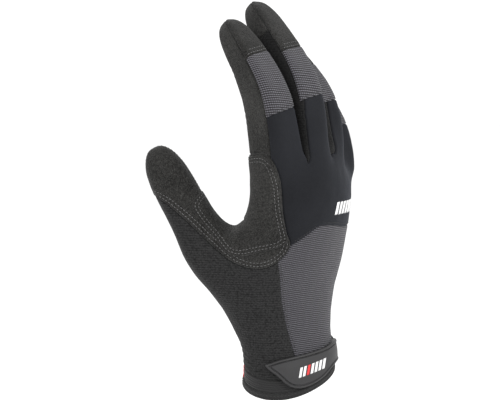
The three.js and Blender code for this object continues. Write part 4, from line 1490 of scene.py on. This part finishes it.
def finer_copy(field, times):
    """The part of the surface where a field is above zero, on finer triangles."""
    values = field(surface.points, unit(surface.points[:, NORMAL]))
    near = take(surface, values[surface.faces].max(axis=1) > -FIELD_REACH)
    for _ in range(times):
        split_in_four(near)
    near = Surface(near.points, near.faces)
    everywhere = np.ones(len(near.faces), bool)
    cut(near, everywhere, lambda p, n: field(p, unit(p[:, NORMAL])), ID["on"], ID["off"])
    return take(near, near.panel == ID["on"])


FIELD_REACH = 3
inside_patch = inside_outline(CROTCH_PATCH, on_palm)
inside_tab = inside_outline(WRIST_TAB, on_cuff)
edge_facing = lambda n, limit: FACING_SCALE * (facing(n) - limit)
patch_field = lambda p, n: np.minimum(inside_patch(p), edge_facing(n, PATCH_FACING))
tab_field = lambda p, n: np.minimum(inside_tab(p), edge_facing(n, TAB_FACING))


def strap_field(p, n):
    height = np.minimum(above_hem(p) - STRAP_FROM, STRAP_TO - above_hem(p))
    end = -STRAP_END * WRIST_WIDTH / 2 - p[:, 0]
    return np.minimum(np.minimum(height, end), -edge_facing(n, TAB_FACING + STRAP_UNDER_TAB))


# The pieces on top: their height above the hand, the radius and depth of their edge,
# their rows of stitches, and lines of points along their rims. A rim ends above the hand.
TOP_LOOPS = (0.2, 0.5, 0.9)
PATCH_TOP, PATCH_EDGE, PATCH_ROWS, PATCH_RIM = 1.05, (0.8, 0.6), (1.4, 3.2), -0.1
STRAP_TOP, STRAP_EDGE, STRAP_ROWS, STRAP_RIM = 1.6, (0.6, 0.5), (1.3,), -0.2
patch = finer_copy(patch_field, 1)
patch_offset = lambda p, far: PATCH_TOP + rounded(far, *PATCH_EDGE)
rows = seam_rows(patch, PATCH_ROWS)
sew("crotch_patch", patch, TOP_LOOPS, patch_offset, hand_uv, suede, rows, light_thread, PATCH_RIM)

strap = finer_copy(strap_field, 1)
strap_offset = lambda p, far: STRAP_TOP + rounded(far, *STRAP_EDGE)
rows = seam_rows(strap, STRAP_ROWS)
sew("wrist_strap", strap, TOP_LOOPS, strap_offset, cuff_uv, elastic, rows, dark_thread, STRAP_RIM)

# The moulded tab: a rounded rim, a groove inside it and a raised field.
TAB_TOP, TAB_EDGE, TAB_RIM = 2.8, (0.8, 0.9), -0.2
RIM_TO, GROOVE_TO = 1.2, 1.9
GROOVE_SIDE = 0.15
GROOVE_DEPTH = 0.7
FIELD_STEP = 0.25
FIELD_CROWN, CROWN_FROM_RIM = 0.15, 6
TAB_LOOPS = (0.2, 0.5, 0.8, 1.05, 1.35, 1.75, 2.05)


def tab_height(p, far):
    past_rim = smooth_step(far, RIM_TO - GROOVE_SIDE, RIM_TO + GROOVE_SIDE)
    past_groove = smooth_step(far, GROOVE_TO - GROOVE_SIDE, GROOVE_TO + GROOVE_SIDE)
    groove = GROOVE_DEPTH * past_rim * (1 - past_groove)
    step = FIELD_STEP * smooth_step(far, RIM_TO, GROOVE_TO)
    crown = FIELD_CROWN * smooth_step(far, GROOVE_TO, CROWN_FROM_RIM)
    return TAB_TOP + rounded(far, *TAB_EDGE) - groove - step + crown


tab = finer_copy(tab_field, 2)
tab_mesh = sew("wrist_tab", tab, TAB_LOOPS, tab_height, cuff_uv, tab_rubber, rim_depth=TAB_RIM)

BAR_STEPS = (4, 8)
BAR_DOWN = 0.5
RAY_FROM = 100


def bar(bvh, corners, direction, raised, base):
    """One plain bar laid on a surface: its points and faces. Empty where it would miss the surface."""
    a, b, c, d = corners
    seats, normals = [], []
    for t in np.linspace(0, 1, BAR_STEPS[1] + 1):
        for s in np.linspace(0, 1, BAR_STEPS[0] + 1):
            place = (1 - t) * ((1 - s) * a + s * b) + t * ((1 - s) * d + s * c)
            seat, normal, _, _ = bvh.ray_cast(Vector(place + direction * RAY_FROM), Vector(-direction))
            if seat is None:
                return [], []
            seats.append(seat)
            normals.append(normal)
    seats, normals = np.array(seats), np.array(normals)
    grid = np.arange(len(seats)).reshape(BAR_STEPS[1] + 1, BAR_STEPS[0] + 1)
    loop = np.concatenate([grid[0], grid[1:, -1], grid[-1, -2::-1], grid[-2:0:-1, 0]])
    low = len(seats) + np.arange(len(loop))
    top = np.stack([grid[:-1, :-1], grid[:-1, 1:], grid[1:, 1:], grid[1:, :-1]], axis=-1).reshape(-1, 4)
    sides = np.stack([np.roll(loop, -1), loop, low, np.roll(low, -1)], axis=1)
    points = [*(seats + normals * raised), *(seats[loop] - normals[loop] * BAR_DOWN)]
    return points, (base + np.concatenate([top, sides])).tolist()


def bars(name, mesh, corners, material, direction, slot, raised=0.22):
    """Plain bars as one piece. Corners are four places for each, seen along a direction."""
    bvh = bvh_of(*mesh)
    points, faces = [], []
    for four in corners:
        more_points, more_faces = bar(bvh, four, direction, raised, len(points))
        points += more_points
        faces += more_faces
    p = np.array(points)
    dress(make_object(name, p, faces, p[:, :2], material), slot=slot)


def slanted_bars(place, start, end, count, share, tilt, rise):
    """The corners of equal bars in a row from start to end, each a share of the pitch wide."""
    start, rise = np.array(start), np.array(rise)
    pitch = (np.array(end) - start) / count
    wide = np.array([pitch[0] * share, tilt])
    corners = np.array([np.zeros(2), wide, wide + rise, rise])
    return [[place(*corner) for corner in start + pitch * k + corners] for k in range(count)]


def in_side_plane(across, up):
    return side_right * across + np.array([0, 0, up])


def in_back_plane(across, up):
    return np.array([across, 0, up])


# Plain slanted bars on the tab, and on the knuckles from their middle to the little
# finger's side. Start, end and rise are places across and up.
TAB_BARS = dict(start=(5.4, 3.2), end=(20.4, 6.5), count=7, share=0.62, tilt=0.3, rise=(0.9, 5.4))
RED_BAR = 2
KNUCKLE_BARS = dict(start=(-1.5, 92.2), end=(-25.5, 92.2), count=6, share=0.64, tilt=0.2, rise=(-1.2, 6.8))
tab_bars = slanted_bars(in_side_plane, **TAB_BARS)
red_bar = tab_bars.pop(RED_BAR)
tab_slot, knuckle_slot = slot_of("wrist_tab"), slot_of("knuckle_panel")
bars("tab_bars", tab_mesh, tab_bars, pale_print, side_facing, tab_slot)
bars("tab_bar_red", tab_mesh, [red_bar], red_print, side_facing, tab_slot)
knuckle_bars = slanted_bars(in_back_plane, **KNUCKLE_BARS)
backwards = np.array([0, 1.0, 0])
bars("knuckle_bars", sheet_meshes["knuckle_panel"], knuckle_bars, pale_print, backwards, knuckle_slot)

# A plain red woven tag on the palm side of the cuff's edge.
TAG_FACING, TAG_HEIGHTS = (8.8, -0.5), (0.6, 7.0)
cuff_points, cuff_faces = [], []
for name in ("side_panel", "palm_panel", "wrist_band", "hem_binding"):
    mesh_points, mesh_faces = sheet_meshes[name]
    cuff_faces += [tuple(i + len(cuff_points) for i in face) for face in mesh_faces]
    cuff_points += list(mesh_points)
low, high = (np.array([0, 0, height]) for height in TAG_HEIGHTS)
near, far = (side_facing * reach for reach in TAG_FACING)
tag_corners = (near + low, far + low, far + high, near + high)
bars("side_tag", (cuff_points, cuff_faces), [tag_corners], red_print, -side_right, "binding", raised=0.3)

# Floor, light and camera.
TARGET = Vector((0, 0.005, 0.105))
CAMERA_AZIMUTH, CAMERA_ELEVATION, CAMERA_DISTANCE = 132, 4, 0.85
SENSOR_WIDTH, LENS = 36, 110.2
# How far the glove stands from the middle of the picture, and the picture's width.
SHIFT_X, SHIFT_Y, PICTURE_WIDTH = -45.7, -10.8, 500
FLOOR_HEIGHT, FLOOR_HALF = -0.03, 6
FLOOR_CORNERS = ((-1, -1), (1, -1), (1, 1), (-1, 1))
WORLD_STRENGTH = 1.15
# Metres from the target, out of the thumb's plane, to the right and up, then size and power.
LIGHTS = {"key": (0.6, 0.7, 0.6, 0.7, 7), "fill": (0.9, -0.6, 0.25, 0.9, 4)}


def add_to_scene(name, data):
    made = bpy.data.objects.new(name, data)
    bpy.context.scene.collection.objects.link(made)
    return made


def place_towards_target(made, place):
    made.location = place
    made.rotation_mode = "QUATERNION"
    made.rotation_quaternion = (TARGET - place).to_track_quat("-Z", "Y")


def floor():
    material = bpy.data.materials.new("floor")
    material.use_nodes = True
    shader = material.node_tree.nodes["Principled BSDF"]
    shader.inputs["Base Color"].default_value = (0.9, 0.9, 0.9, 1)
    shader.inputs["Roughness"].default_value = 0.9
    mesh = bpy.data.meshes.new("floor")
    corners = [(x * FLOOR_HALF, y * FLOOR_HALF, FLOOR_HEIGHT) for x, y in FLOOR_CORNERS]
    mesh.from_pydata(corners, [], [(0, 1, 2, 3)])
    mesh.materials.append(material)
    add_to_scene("floor", mesh)


def area_light(name, away, size, power):
    data = bpy.data.lights.new(name, "AREA")
    data.shape = "DISK"
    data.size = size
    data.energy = power
    place_towards_target(add_to_scene(name, data), TARGET + Vector(away))


def world():
    made = bpy.data.worlds.new("studio")
    made.use_nodes = True
    background = made.node_tree.nodes["Background"]
    background.inputs["Color"].default_value = WHITE
    background.inputs["Strength"].default_value = WORLD_STRENGTH
    bpy.context.scene.world = made


def camera():
    data = bpy.data.cameras.new("camera")
    data.sensor_width, data.lens = SENSOR_WIDTH, LENS
    data.shift_x, data.shift_y = SHIFT_X / PICTURE_WIDTH, SHIFT_Y / PICTURE_WIDTH
    data.clip_start, data.clip_end = 0.01, 20
    azimuth, elevation = CAMERA_AZIMUTH, CAMERA_ELEVATION
    back = (sine(azimuth) * cosine(elevation), -cosine(azimuth) * cosine(elevation), sine(elevation))
    made = add_to_scene("camera", data)
    place_towards_target(made, TARGET + Vector(back) * CAMERA_DISTANCE)
    bpy.context.scene.camera = made


floor()
world()
for name, (outwards, rightwards, upwards, size, power) in LIGHTS.items():
    away = side_facing * outwards + side_right * rightwards + np.array([0, 0, upwards])
    area_light(name, away, size, power)
camera()
bpy.context.scene.view_settings.view_transform = "Standard"
